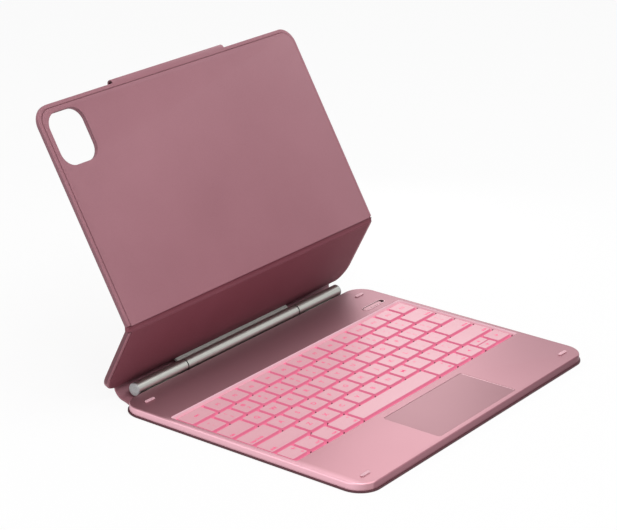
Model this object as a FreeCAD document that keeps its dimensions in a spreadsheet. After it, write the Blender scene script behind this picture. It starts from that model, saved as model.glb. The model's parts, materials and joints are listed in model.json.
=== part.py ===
import FreeCAD, Part
import math
import os
import re

import Sketcher

# Tablet keyboard case: a shallow metal keyboard base on a skin, a barrel hinge behind it, and a two-panel
# cover that stands up folded. X runs left to right, Y front to back, Z up; the origin is the middle of the
# underside.
doc = FreeCAD.newDocument("TabletKeyboardCase")
sheet = doc.addObject("Spreadsheet::Sheet", "Sizes")

sizes = {
    # base
    "baseWidth": 250.0,
    "baseDepth": 184.5,
    "baseCorner": 14.0,
    "skinThick": 1.2,
    "skinLip": 1.0,
    "trayHeight": 4.6,
    "deckThick": 1.0,
    "wallThick": 1.4,
    "edgeRound": 1.2,
    "bottomThick": 0.4,
    "fitGap": 0.15,
    "cutOver": 1.0,
    # key well, from the light guide up
    "guideThick": 0.3,
    "plateThick": 0.3,
    "membraneThick": 0.2,
    "ringThick": 1.0,
    "wellCorner": 2.0,
    "wellSideGap": 0.65,
    "wellRearGap": 1.1,
    "wellFrontGap": 2.4,
    "rearDeck": 38.1,
    # keys
    "rowUnits": 14.5,
    "keyRows": 6,
    "pitchAcross": 16.6,
    "pitchDeep": 15.2,
    "capGap": 2.0,
    "halfCapGap": 0.6,
    "capThick": 1.4,
    "capCorner": 1.2,
    "capTaper": 8.0,
    "keyTravel": 0.9,
    "domeFoot": 2.4,
    "domeCrown": 1.4,
    "halfDomeScale": 0.7,
    "domeGap": 0.1,
    # trackpad
    "trackpadWidth": 86.0,
    "trackpadDepth": 41.2,
    "trackpadCorner": 2.0,
    "trackpadFront": 3.9,
    "trackpadThick": 0.8,
    "trackpadSink": 0.1,
    "trackpadGap": 0.3,
    "padBoardThick": 0.6,
    "padBoardInset": 3.0,
    "clickTravel": 0.4,
    "bracketThick": 0.5,
    "bracketInset": 2.0,
    "railWidth": 3.0,
    "clickRadius": 3.0,
    "clickHeight": 0.7,
    "clickFront": 10.3,
    "glassBevel": 0.15,
    # power switch
    "slotLength": 22.0,
    "slotWidth": 4.0,
    "slotInset": 23.0,
    "slotRear": 30.0,
    "sliderTravel": 2.4,
    "sliderGap": 0.35,
    "sliderProud": 0.2,
    "sliderFoot": 0.3,
    "sliderRound": 0.25,
    "housingLength": 16.0,
    "housingWidth": 6.0,
    # bumper pads
    "bumperLength": 8.5,
    "bumperWidth": 2.4,
    "bumperHeight": 0.7,
    "bumperInset": 14.5,
    "bumperFront": 10.3,
    "bumperRear": 11.9,
    "bumperRound": 0.35,
    # pieces inside the base
    "cellLength": 58.0,
    "cellDepth": 32.0,
    "cellHeight": 2.6,
    "cellCorner": 1.5,
    "cellInset": 8.0,
    "frontInset": 9.0,
    "boardLength": 58.0,
    "boardDepth": 30.0,
    "boardThick": 0.8,
    "boardCorner": 1.0,
    "shieldLength": 19.0,
    "shieldDepth": 15.0,
    "shieldHeight": 1.2,
    "shieldShift": 12.0,
    "chipSide": 8.0,
    "chipHeight": 0.9,
    "chipShift": 14.5,
    "ribbonWidth": 16.0,
    "ribbonThick": 0.2,
    "ribbonLap": 3.0,
    "socketWidth": 8.9,
    "socketHeight": 2.9,
    "socketLength": 7.5,
    "socketWall": 0.4,
    "socketRound": 0.95,
    "socketBack": 1.0,
    "prongWidth": 5.9,
    "prongThick": 0.6,
    "prongReach": 5.0,
    "socketRear": 16.0,
    "magnetLength": 18.0,
    "magnetDepth": 4.0,
    "magnetHeight": 1.6,
    "magnetSpread": 147.0,
    "magnetGap": 0.5,
    # hinge
    "hingeSet": 4.7,
    "hingeLift": 0.95,
    "tubeRadius": 4.2,
    "tubeInset": 18.5,
    "sideTube": 48.1,
    "grooveWidth": 0.9,
    "washerThick": 0.6,
    "washerRadius": 3.6,
    "pinRadius": 1.6,
    "pinGap": 0.05,
    "pressGap": 0.03,
    "pinReach": 16.0,
    "sleeveRadius": 3.0,
    "pinSetback": 3.0,
    "endCap": 1.2,
    "capBevel": 0.3,
    "tongueWidth": 30.0,
    "tongueThick": 1.6,
    "tongueLift": 0.5,
    "tongueReach": 16.0,
    "screwRadius": 0.9,
    "screwSpread": 20.0,
    "screwInset": 4.0,
    "screwHead": 1.7,
    "headThick": 0.6,
    # cover
    "coverLip": 1.5,
    "lowerLean": 116.2,
    "upperLean": 59.2,
    "lowerLength": 50.4,
    "coverOverhang": 4.7,
    "tabletRoom": 7.9,
    "shellThick": 2.1,
    "liningThick": 1.3,
    "liningInset": 2.8,
    "coverCorner": 12.0,
    "rimRound": 0.8,
    "liningRound": 0.5,
    "shellDrop": 4.0,
    "liningDrop": 0.5,
    "foldEdge": 1.0,
    "liningEdge": 0.4,
    "spineInset": 10.0,
    "foldSink": 0.3,
    "trimReach": 30.0,
    # hinge leaf inside the lower panel
    "leafThick": 0.8,
    "leafReach": 14.0,
    "webThick": 1.6,
    "webDrop": 2.6,
    "rivetRadius": 1.5,
    "rivetRise": 7.0,
    "rivetPitch": 19.5,
    "rivetMargin": 6.0,
    "rivetCover": 0.5,
    # camera cutout and holding magnets of the upper panel
    "cutWidth": 31.0,
    "cutHeight": 34.2,
    "cutCorner": 9.5,
    "cutSide": 6.6,
    "cutTop": 6.2,
    "discRadius": 5.0,
    "discThick": 1.2,
    "discPitch": 31.6,
    "discFirst": 28.7,
    "discRise": 57.4,
    # closing flap
    "flapWidth": 110.0,
    "flapThick": 1.2,
    "flapLength": 32.0,
    "flapCorner": 6.0,
    "flapGap": 0.4,
    "flapRise": 0.2,
    "barLength": 40.0,
    "barWidth": 8.0,
    "barThick": 0.7,
    "barRise": 4.0,
}

for row, (name, value) in enumerate(sizes.items(), start=1):
    sheet.set(f"A{row}", name)
    sheet.set(f"B{row}", str(value))
    sheet.setAlias(f"B{row}", name)
doc.recompute()

# Levels above the floor, measured up from the underside
deckTop = "(skinThick + trayHeight)"
deckUnder = "(skinThick + trayHeight - deckThick)"
floorTop = "(skinThick + bottomThick)"
guideTop = "(skinThick + bottomThick + guideThick)"
plateTop = "(skinThick + bottomThick + guideThick + plateThick)"
wellFloor = "(skinThick + bottomThick + guideThick + plateThick + membraneThick)"
capUnder = f"({wellFloor} + keyTravel + domeGap)"

# Key well, measured from the rear edge of the base
wellRear = "(baseDepth / 2 - rearDeck)"
keysRear = "(baseDepth / 2 - rearDeck - wellRearGap)"
wellWidth = "(rowUnits * pitchAcross + 2 * wellSideGap)"
wellDepth = "(keyRows * pitchDeep + wellRearGap + wellFrontGap)"
wellY = f"({wellRear} - {wellDepth} / 2)"
wellFront = f"({wellRear} - {wellDepth})"

# Hinge axis and the two cover panels that turn on it
hingeY = "(baseDepth / 2 + hingeSet)"
hingeZ = "(skinThick + trayHeight + hingeLift)"
tubeEnd = "(baseWidth / 2 - tubeInset)"
grooveX = "(baseWidth / 2 - tubeInset - sideTube)"
leafWidth = f"(2 * ({grooveX} - grooveWidth / 2))"
panelThick = "(shellThick + liningThick)"
panelWidth = "(baseWidth + 2 * coverLip)"
panelBack = "(tabletRoom + shellThick + liningThick)"
foldY = f"({hingeY} + cos(lowerLean) * lowerLength + sin(lowerLean) * {panelBack})"
foldZ = f"({hingeZ} + sin(lowerLean) * lowerLength - cos(lowerLean) * {panelBack})"
upperLength = "(baseDepth + hingeSet + coverOverhang - lowerLength)"
flapY = f"({upperLength} + flapRise)"
flapMid = "((shellThick - flapGap) / 2)"
flapOuter = "((shellThick + flapGap) / 2 + flapThick)"
trackpadY = "(trackpadFront + trackpadDepth / 2 - baseDepth / 2)"
glassTop = f"({deckTop} - trackpadSink)"
slotX = "(baseWidth / 2 - slotInset)"
slotY = "(baseDepth / 2 - slotRear)"
cutX = f"(cutSide + cutWidth / 2 - {panelWidth} / 2)"
cutY = f"({upperLength} - cutTop - cutHeight / 2)"

words = re.compile(r"[A-Za-z]\w*")
nodes = {}


def bind(thing, place, rule):
    text = words.sub(lambda word: "Sizes." + word[0] if word[0] in sizes else word[0], str(rule))
    thing.setExpression(place, text)


def newBody(label):
    body = doc.addObject("PartDesign::Body", label)
    body.Label = label
    nodes[label] = body
    return body


def originPlane(body, role):
    return [item for item in body.Origin.OriginFeatures if item.Role == role][0]


def newSketch(body, name, role):
    sketch = body.newObject("Sketcher::SketchObject", name)
    sketch.AttachmentSupport = [(originPlane(body, role), "")]
    sketch.MapMode = "FlatFace"
    return sketch


def roundedSketch(body, name, width, depth, corner, x, y, z):
    # a rectangle with round corners, centred on its own origin and then moved to x, y, z
    sketch = newSketch(body, name, "XY_Plane")
    wide, deep, bend = 20.0, 12.0, 2.0
    flatX, flatY = wide / 2 - bend, deep / 2 - bend
    ends = [(-flatX, -deep / 2), (flatX, -deep / 2), (wide / 2, -flatY), (wide / 2, flatY)]
    ends += [(flatX, deep / 2), (-flatX, deep / 2), (-wide / 2, flatY), (-wide / 2, -flatY)]
    for side in range(4):
        start, stop = ends[2 * side], ends[2 * side + 1]
        sketch.addGeometry(Part.LineSegment(FreeCAD.Vector(*start, 0), FreeCAD.Vector(*stop, 0)))
    for side, (cx, cy) in enumerate([(flatX, -flatY), (flatX, flatY), (-flatX, flatY), (-flatX, -flatY)]):
        circle = Part.Circle(FreeCAD.Vector(cx, cy, 0), FreeCAD.Vector(0, 0, 1), bend)
        start = math.radians(90 * side - 90)
        sketch.addGeometry(Part.ArcOfCircle(circle, start, start + math.pi / 2))
    for side in range(4):
        sketch.addConstraint(Sketcher.Constraint("Tangent", side, 2, 4 + side, 1))
        sketch.addConstraint(Sketcher.Constraint("Tangent", 4 + side, 2, (side + 1) % 4, 1))
    sketch.addConstraint(Sketcher.Constraint("Horizontal", 0))
    sketch.addConstraint(Sketcher.Constraint("Horizontal", 2))
    sketch.addConstraint(Sketcher.Constraint("Vertical", 1))
    sketch.addConstraint(Sketcher.Constraint("Vertical", 3))
    for arc in (5, 6, 7):
        sketch.addConstraint(Sketcher.Constraint("Equal", 4, arc))
    sketch.addConstraint(Sketcher.Constraint("Symmetric", 4, 3, 6, 3, -1, 1))
    radius = sketch.addConstraint(Sketcher.Constraint("Radius", 4, bend))
    across = sketch.addConstraint(Sketcher.Constraint("DistanceX", 3, 1, 1, 1, wide))
    along = sketch.addConstraint(Sketcher.Constraint("DistanceY", 0, 1, 2, 1, deep))
    bind(sketch, f"Constraints[{radius}]", corner)
    bind(sketch, f"Constraints[{across}]", width)
    bind(sketch, f"Constraints[{along}]", depth)
    bind(sketch, "AttachmentOffset.Base.x", x)
    bind(sketch, "AttachmentOffset.Base.y", y)
    bind(sketch, "AttachmentOffset.Base.z", z)
    return sketch


def slab(body, name, width, depth, corner, x, y, z, height, cut=False, taper=None):
    sketch = roundedSketch(body, name + "Outline", width, depth, corner, x, y, z)
    feature = body.newObject("PartDesign::Pocket" if cut else "PartDesign::Pad", name)
    feature.Profile = sketch
    feature.Reversed = cut
    bind(feature, "Length", height)
    if taper:
        bind(feature, "TaperAngle", taper)
    return finish(body, feature, cut)


def pillCorner(width):
    # a hair under half the width, so that a straight piece stays between the two round ends
    return f"({width}) * 0.498"


def block(body, name, length, width, height, x, y, z, cut=False):
    # a box centred on x and y that stands on z
    feature = body.newObject("PartDesign::SubtractiveBox" if cut else "PartDesign::AdditiveBox", name)
    bind(feature, "Length", length)
    bind(feature, "Width", width)
    bind(feature, "Height", height)
    bind(feature, "Placement.Base.x", f"({x}) - ({length}) / 2")
    bind(feature, "Placement.Base.y", f"({y}) - ({width}) / 2")
    bind(feature, "Placement.Base.z", z)
    return finish(body, feature, cut)


def rod(body, name, radius, length, x, y, z, upright=False, cut=False, sweep=None):
    # a cylinder that starts at x, y, z and runs along X, or along Z if it stands upright
    kind = "PartDesign::SubtractiveCylinder" if cut else "PartDesign::AdditiveCylinder"
    feature = body.newObject(kind, name)
    if not upright:
        alongX = FreeCAD.Rotation(FreeCAD.Vector(0, 1, 0), 90)
        feature.Placement = FreeCAD.Placement(FreeCAD.Vector(), alongX)
    bind(feature, "Radius", radius)
    bind(feature, "Height", length)
    if sweep:
        bind(feature, "Angle", sweep)
    bind(feature, "Placement.Base.x", x)
    bind(feature, "Placement.Base.y", y)
    bind(feature, "Placement.Base.z", z)
    return finish(body, feature, cut)


def prism(body, name, outline, length):
    # a closed outline of y, z points, drawn across X and centred on it
    sketch = newSketch(body, name + "Outline", "YZ_Plane")
    count = len(outline)
    for side in range(count):
        turn = 2 * math.pi * side / count
        after = 2 * math.pi * (side + 1) / count
        start = FreeCAD.Vector(math.cos(turn), math.sin(turn), 0)
        stop = FreeCAD.Vector(math.cos(after), math.sin(after), 0)
        sketch.addGeometry(Part.LineSegment(start, stop))
    for side in range(count):
        sketch.addConstraint(Sketcher.Constraint("Coincident", side, 2, (side + 1) % count, 1))
    for side, (y, z) in enumerate(outline):
        turn = 2 * math.pi * side / count
        across = sketch.addConstraint(Sketcher.Constraint("DistanceX", -1, 1, side, 1, math.cos(turn)))
        along = sketch.addConstraint(Sketcher.Constraint("DistanceY", -1, 1, side, 1, math.sin(turn)))
        bind(sketch, f"Constraints[{across}]", y)
        bind(sketch, f"Constraints[{along}]", z)
    bind(sketch, "AttachmentOffset.Base.z", f"-({length}) / 2")
    feature = body.newObject("PartDesign::Pad", name)
    feature.Profile = sketch
    bind(feature, "Length", length)
    return finish(body, feature, False)


def finish(body, feature, cut):
    # every cut must remove something, so a cut that points the wrong way stops the build
    before = feature.BaseFeature.Shape.Volume if cut and feature.BaseFeature else 0.0
    body.Tip = feature
    doc.recompute([feature], True)
    if cut and feature.Shape.Volume > before - 1e-4:
        raise ValueError(f"{body.Label}: {feature.Label} cuts nothing")
    return feature


def dressEdges(body, name, kind, chosen, size):
    base = body.Tip
    picked = [f"Edge{i}" for i, edge in enumerate(base.Shape.Edges, start=1) if chosen(edge)]
    feature = body.newObject("PartDesign::" + kind, name)
    feature.Base = (base, picked)
    bind(feature, "Radius" if kind == "Fillet" else "Size", size)
    return finish(body, feature, False)


def number(rule):
    # the value of a rule made of sheet names, for choosing edges by their place
    probe = doc.addObject("App::FeaturePython", "probe")
    probe.addProperty("App::PropertyFloat", "Value")
    bind(probe, "Value", rule)
    doc.recompute([probe], True)
    value = probe.Value
    doc.removeObject(probe.Name)
    return value


def atLevel(level, cutY=None):
    # edges that lie flat at a level, apart from the straight one along a cut at cutY
    def chosen(edge):
        box = edge.BoundBox
        flat = abs(box.ZMin - level) < 1e-4 and abs(box.ZMax - level) < 1e-4
        onCut = cutY is not None and max(abs(box.YMin - cutY), abs(box.YMax - cutY)) < 1e-4
        return flat and not onCut

    return chosen


def lean(body, y, z, angle):
    # stands a piece that was drawn flat on its hinge line, turned about X
    body.Placement = FreeCAD.Placement(FreeCAD.Vector(), FreeCAD.Rotation(FreeCAD.Vector(1, 0, 0), 10))
    bind(body, "Placement.Base.y", y)
    bind(body, "Placement.Base.z", z)
    bind(body, "Placement.Rotation.Angle", angle)


def onLower(body):
    lean(body, hingeY, hingeZ, "lowerLean")


def onUpper(body):
    lean(body, foldY, foldZ, "upperLean")


def makeBaseSkin():
    body = newBody("base_skin")
    slab(body, "Skin", "baseWidth + 2 * skinLip", "baseDepth + 2 * skinLip", "baseCorner + skinLip",
         0, 0, 0, "skinThick")


def makeBottomPlate():
    body = newBody("bottom_plate")
    inside = "2 * (wallThick + fitGap)"
    slab(body, "Plate", f"baseWidth - {inside}", f"baseDepth - {inside}", "baseCorner - wallThick - fitGap",
         0, 0, "skinThick", "bottomThick")


def makeBaseTray():
    body = newBody("base_tray")
    slab(body, "Outside", "baseWidth", "baseDepth", "baseCorner", 0, 0, "skinThick", "trayHeight")
    dressEdges(body, "TopRound", "Fillet", atLevel(number(deckTop)), "edgeRound")
    slab(body, "Hollow", "baseWidth - 2 * wallThick", "baseDepth - 2 * wallThick", "baseCorner - wallThick",
         0, 0, "skinThick", "trayHeight - deckThick", cut=True)
    slab(body, "WellRing", f"{wellWidth} + 2 * ringThick", f"{wellDepth} + 2 * ringThick",
         "wellCorner + ringThick", 0, wellY, wellFloor, f"{deckUnder} - {wellFloor} + deckThick / 2")
    slab(body, "Well", wellWidth, wellDepth, "wellCorner", 0, wellY, wellFloor,
         f"{deckTop} - {wellFloor} + cutOver", cut=True)
    slab(body, "TrackpadOpening", "trackpadWidth + 2 * trackpadGap", "trackpadDepth + 2 * trackpadGap",
         "trackpadCorner + trackpadGap", 0, trackpadY, f"{deckUnder} - fitGap", "deckThick + cutOver",
         cut=True)
    slab(body, "SwitchSlot", "slotLength", "slotWidth", pillCorner("slotWidth"), slotX, slotY,
         f"{deckUnder} - fitGap", "deckThick + cutOver", cut=True)
    block(body, "SocketOpening", "3 * wallThick", "socketWidth + 2 * fitGap", "socketHeight + fitGap",
          "baseWidth / 2", "baseDepth / 2 - socketRear", f"{floorTop} - fitGap / 2", cut=True)
    for side, name in ((-1, "Left"), (1, "Right")):
        block(body, "TongueOpening" + name, "tongueWidth + 2 * fitGap", "3 * wallThick",
              "tongueThick + 2 * fitGap", f"{side} * ({grooveX} + sideTube / 2)", "baseDepth / 2",
              f"{floorTop} + tongueLift - fitGap", cut=True)


def makeKeyBed():
    for label, z, thick in (
        ("light_guide", floorTop, "guideThick"),
        ("key_plate", guideTop, "plateThick"),
        ("switch_membrane", plateTop, "membraneThick"),
    ):
        body = newBody(label)
        slab(body, "Sheet", f"{wellWidth} + 2 * ringThick", f"{wellDepth} + 2 * ringThick",
             "wellCorner + ringThick", 0, wellY, z, thick)


def keyX(start, wide):
    return f"(({start} + {wide} / 2 - rowUnits / 2) * pitchAcross)"


def keyY(row):
    return f"({keysRear} - {row + 0.5} * pitchDeep)"


def caps(body, name, row, start, wide, count=1, part=0):
    # count keycaps side by side; part 1 or -1 is the rear or front half of a key place
    deep = "(pitchDeep - capGap)" if part == 0 else "((pitchDeep - capGap - halfCapGap) / 2)"
    y = f"({keyY(row)} + {part} * ({deep} + halfCapGap) / 2)"
    pad = slab(body, name, f"{wide} * pitchAcross - capGap", deep, "capCorner", keyX(start, wide), y,
               capUnder, "capThick", taper="-capTaper")
    if count > 1:
        run = body.newObject("PartDesign::LinearPattern", name + "Row")
        run.Originals = [pad]
        run.Direction = (pad.Profile[0], ["H_Axis"])
        bind(run, "Length", f"{count - 1} * pitchAcross")
        run.Occurrences = count
        body.Tip = run
        doc.recompute([run], True)


# label, row from the rear, first place across, width in places, keys side by side, half of the place
keyLayout = [
    ("key_escape", 0, 0, 1.5, 1, 0),
    ("function_row_keys", 0, 1.5, 1, 13, 0),
    ("number_row_keys", 1, 0, 1, 13, 0),
    ("key_backspace", 1, 13, 1.5, 1, 0),
    ("key_tab", 2, 0, 1.5, 1, 0),
    ("upper_letter_keys", 2, 1.5, 1, 13, 0),
    ("key_caps", 3, 0, 1.75, 1, 0),
    ("home_letter_keys", 3, 1.75, 1, 11, 0),
    ("key_enter", 3, 12.75, 1.75, 1, 0),
    ("key_shift_left", 4, 0, 2.25, 1, 0),
    ("lower_letter_keys", 4, 2.25, 1, 10, 0),
    ("key_shift_right", 4, 12.25, 2.25, 1, 0),
    ("modifier_keys", 5, 0, 1, 3, 0),
    ("modifier_keys", 5, 3, 1.25, 1, 0),
    ("key_space", 5, 4.25, 5, 1, 0),
    ("modifier_keys", 5, 9.25, 1.25, 1, 0),
    ("modifier_keys", 5, 10.5, 1, 1, 0),
    ("key_left", 5, 11.5, 1, 1, 0),
    ("key_up", 5, 12.5, 1, 1, 1),
    ("key_down", 5, 12.5, 1, 1, -1),
    ("key_right", 5, 13.5, 1, 1, 0),
]


def makeKeys():
    for index, (label, row, start, wide, count, part) in enumerate(keyLayout):
        body = nodes.get(label) or newBody(label)
        caps(body, f"Caps{index}", row, start, wide, count, part)


def makeDomes():
    # one rubber dome under the middle of each keycap
    domes = []
    for label, row, start, wide, count, part in keyLayout:
        for place in range(count):
            dome = doc.addObject("Part::Cone", "dome")
            size = "" if part == 0 else " * halfDomeScale"
            bind(dome, "Radius1", "domeFoot" + size)
            bind(dome, "Radius2", "domeCrown" + size)
            bind(dome, "Height", "keyTravel")
            bind(dome, "Placement.Base.x", keyX(start + place, wide))
            bind(dome, "Placement.Base.y", f"{keyY(row)} + {part} * (pitchDeep - capGap + halfCapGap) / 4")
            bind(dome, "Placement.Base.z", wellFloor)
            domes.append(dome)
    group = doc.addObject("Part::Compound", "key_domes")
    group.Label = "key_domes"
    group.Links = domes
    nodes["key_domes"] = group


def makeTrackpad():
    body = newBody("trackpad_glass")
    slab(body, "Glass", "trackpadWidth", "trackpadDepth", "trackpadCorner", 0, trackpadY,
         f"{glassTop} - trackpadThick", "trackpadThick")
    dressEdges(body, "GlassBevel", "Chamfer", atLevel(number(glassTop)), "glassBevel")
    body = newBody("trackpad_board")
    boardUnder = f"({glassTop} - trackpadThick - padBoardThick)"
    slab(body, "Board", "trackpadWidth - 2 * padBoardInset", "trackpadDepth - 2 * padBoardInset",
         "trackpadCorner", 0, trackpadY, boardUnder, "padBoardThick")
    domeTop = f"({boardUnder} - clickTravel)"
    plateLevel = f"({domeTop} - clickHeight - bracketThick)"
    body = newBody("trackpad_bracket")
    deep = "(trackpadDepth - 2 * bracketInset)"
    block(body, "Plate", "trackpadWidth - 2 * bracketInset", deep, "bracketThick", 0, trackpadY, plateLevel)
    for side, name in ((-1, "Left"), (1, "Right")):
        block(body, "Rail" + name, "railWidth", deep, f"{plateLevel} - {floorTop} + bracketThick / 2",
              f"{side} * (trackpadWidth - 2 * bracketInset - railWidth) / 2", trackpadY, floorTop)
    body = newBody("trackpad_dome")
    rod(body, "Dome", "clickRadius", "clickHeight", 0, f"{trackpadY} - clickFront",
        f"{domeTop} - clickHeight", upright=True)


def makePowerSwitch():
    body = newBody("power_slider")
    length = "(slotLength - sliderTravel - 2 * sliderGap)"
    width = "(slotWidth - 2 * sliderGap)"
    under = f"({deckUnder} - sliderFoot)"
    slab(body, "Slider", length, width, pillCorner(width), f"{slotX} - sliderTravel / 2", slotY, under,
         f"{deckTop} + sliderProud - {under}")
    dressEdges(body, "SliderEdge", "Fillet", atLevel(number(f"{deckTop} + sliderProud")), "sliderRound")
    body = newBody("slide_switch")
    block(body, "Housing", "housingLength", "housingWidth", f"{under} - {floorTop} - sliderGap", slotX,
          slotY, floorTop)


def makeBumpers():
    body = newBody("bumper_pads")
    spots = [(side, end) for side in (-1, 1) for end in (-1, 1)]
    for index, (side, end) in enumerate(spots):
        y = "baseDepth / 2 - bumperRear" if end > 0 else "bumperFront - baseDepth / 2"
        slab(body, f"Pad{index}", "bumperLength", "bumperWidth", pillCorner("bumperWidth"),
             f"{side} * (baseWidth / 2 - bumperInset)", y, deckTop, "bumperHeight")
    dressEdges(body, "PadEdges", "Fillet", atLevel(number(f"{deckTop} + bumperHeight")), "bumperRound")


def makeInsides():
    frontY = "frontInset - baseDepth / 2"
    body = newBody("battery_cells")
    slab(body, "Cell", "cellLength", "cellDepth", "cellCorner",
         "cellInset + cellLength / 2 - baseWidth / 2", f"{frontY} + cellDepth / 2", floorTop, "cellHeight")
    boardX = "(baseWidth / 2 - cellInset - boardLength / 2)"
    boardY = f"({frontY} + boardDepth / 2)"
    body = newBody("main_board")
    slab(body, "Board", "boardLength", "boardDepth", "boardCorner", boardX, boardY, floorTop, "boardThick")
    block(body, "Shield", "shieldLength", "shieldDepth", "shieldHeight", f"{boardX} + shieldShift",
          f"{boardY} + shieldDepth / 4 - chipSide / 2", f"{floorTop} + boardThick / 2")
    block(body, "Chip", "chipSide", "chipSide", "chipHeight", f"{boardX} - chipShift",
          f"{boardY} - chipSide / 2", f"{floorTop} + boardThick / 2")
    # the ribbon runs from the front edge of the switch membrane on to the board
    body = newBody("ribbon_cable")
    ribbonY = f"({wellFront} - ringThick)"
    boardEdge = f"({boardY} + boardDepth / 2)"
    block(body, "Ribbon", "ribbonWidth", f"{ribbonY} - {boardEdge} + ribbonLap", "ribbonThick",
          f"{boardX} - chipShift", f"({ribbonY} + {boardEdge} - ribbonLap) / 2", f"{floorTop} + boardThick")
    body = newBody("charge_socket")
    socketY = "(baseDepth / 2 - socketRear)"
    block(body, "Shell", "socketLength", "socketWidth", "socketHeight",
          "baseWidth / 2 - socketLength / 2", socketY, floorTop)
    dressEdges(body, "ShellRound", "Fillet",
               lambda edge: max(edge.BoundBox.YLength, edge.BoundBox.ZLength) < 1e-4, "socketRound")
    block(body, "Mouth", "socketLength", "socketWidth - 2 * socketRound", "socketHeight - 2 * socketWall",
          "baseWidth / 2 + socketBack - socketLength / 2", socketY, f"{floorTop} + socketWall", cut=True)
    block(body, "Prong", "prongReach", "prongWidth", "prongThick",
          "baseWidth / 2 - socketLength + socketBack / 2 + prongReach / 2", socketY,
          f"{floorTop} + (socketHeight - prongThick) / 2")
    body = newBody("base_magnets")
    for side, name in ((-1, "Left"), (1, "Right")):
        block(body, "Magnet" + name, "magnetLength", "magnetDepth", "magnetHeight",
              f"{side} * magnetSpread / 2",
              "wallThick + magnetDepth / 2 + magnetGap - baseDepth / 2", f"{deckUnder} - magnetHeight")


def makeHinge():
    sideStart = f"({grooveX} + grooveWidth / 2)"
    sideLength = f"({tubeEnd} - endCap - {sideStart})"
    middle = f"(2 * ({grooveX} - grooveWidth / 2))"
    for side, label in ((-1, "hinge_tube_left"), (1, "hinge_tube_right")):
        body = newBody(label)
        start = sideStart if side > 0 else f"-({tubeEnd} - endCap)"
        rod(body, "Tube", "tubeRadius", sideLength, start, hingeY, hingeZ)
        rod(body, "Bore", "pinRadius + pressGap", sideLength, start, hingeY, hingeZ, cut=True)
    body = newBody("hinge_caps")
    for side, name in ((-1, "Left"), (1, "Right")):
        start = f"({tubeEnd} - endCap)" if side > 0 else f"-{tubeEnd}"
        rod(body, "Cap" + name, "tubeRadius", "endCap", start, hingeY, hingeZ)
    dressEdges(body, "CapEdges", "Chamfer",
               lambda edge: abs(abs(edge.BoundBox.Center.x) - number(tubeEnd)) < 1e-4
               and edge.BoundBox.XLength < 1e-4, "capBevel")
    body = newBody("hinge_washers")
    for side, name in ((-1, "Left"), (1, "Right")):
        start = f"{side} * {grooveX} - washerThick / 2"
        rod(body, "Washer" + name, "washerRadius", "washerThick", start, hingeY, hingeZ)
        rod(body, "Hole" + name, "pinRadius + pressGap", "washerThick", start, hingeY, hingeZ, cut=True)
    body = newBody("hinge_pins")
    pinLength = "(pinReach + sideTube - pinSetback)"
    for side, name in ((-1, "Left"), (1, "Right")):
        start = f"({grooveX} - pinReach)" if side > 0 else f"-({grooveX} - pinReach + {pinLength})"
        rod(body, "Pin" + name, "pinRadius", pinLength, start, hingeY, hingeZ)
    body = newBody("hinge_tube_center")
    rod(body, "Tube", "tubeRadius", middle, f"-{middle} / 2", 0, 0)
    rod(body, "Bore", "sleeveRadius + pressGap", middle, f"-{middle} / 2", 0, 0, cut=True)
    onLower(body)
    body = newBody("friction_sleeves")
    for side, name in ((-1, "Left"), (1, "Right")):
        start = f"({middle} / 2 - pinReach)" if side > 0 else f"-{middle} / 2"
        rod(body, "Sleeve" + name, "sleeveRadius", "pinReach", start, 0, 0)
        rod(body, "Hole" + name, "pinRadius + pinGap", "pinReach", start, 0, 0, cut=True)
    onLower(body)


def makeBrackets():
    # a tongue under each side tube, screwed down inside the tray and hollowed where the tube rests on it
    body = newBody("hinge_brackets")
    screws = newBody("base_screws")
    tongueZ = f"({floorTop} + tongueLift)"
    tongueLength = "(tongueReach + hingeSet)"
    for side, name in ((-1, "Left"), (1, "Right")):
        middle = f"({side} * ({grooveX} + sideTube / 2))"
        block(body, "Tongue" + name, "tongueWidth", tongueLength, "tongueThick", middle,
              f"{hingeY} - {tongueLength} / 2", tongueZ)
        rod(body, "Seat" + name, "tubeRadius", "tongueWidth + 2 * cutOver",
            f"{middle} - tongueWidth / 2 - cutOver", hingeY, hingeZ, cut=True)
        for end in (-1, 1):
            x = f"{middle} + {end} * screwSpread / 2"
            y = f"{hingeY} - {tongueLength} + screwInset"
            mark = name + ("Outer" if end == side else "Inner")
            rod(body, "Hole" + mark, "screwRadius + pressGap", "tongueThick + 2 * cutOver", x, y,
                f"{tongueZ} - cutOver", upright=True, cut=True)
            rod(screws, "Shank" + mark, "screwRadius", "tongueLift + tongueThick", x, y, floorTop,
                upright=True)
            rod(screws, "Head" + mark, "screwHead", "headThick", x, y, f"{tongueZ} + tongueThick",
                upright=True)


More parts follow.
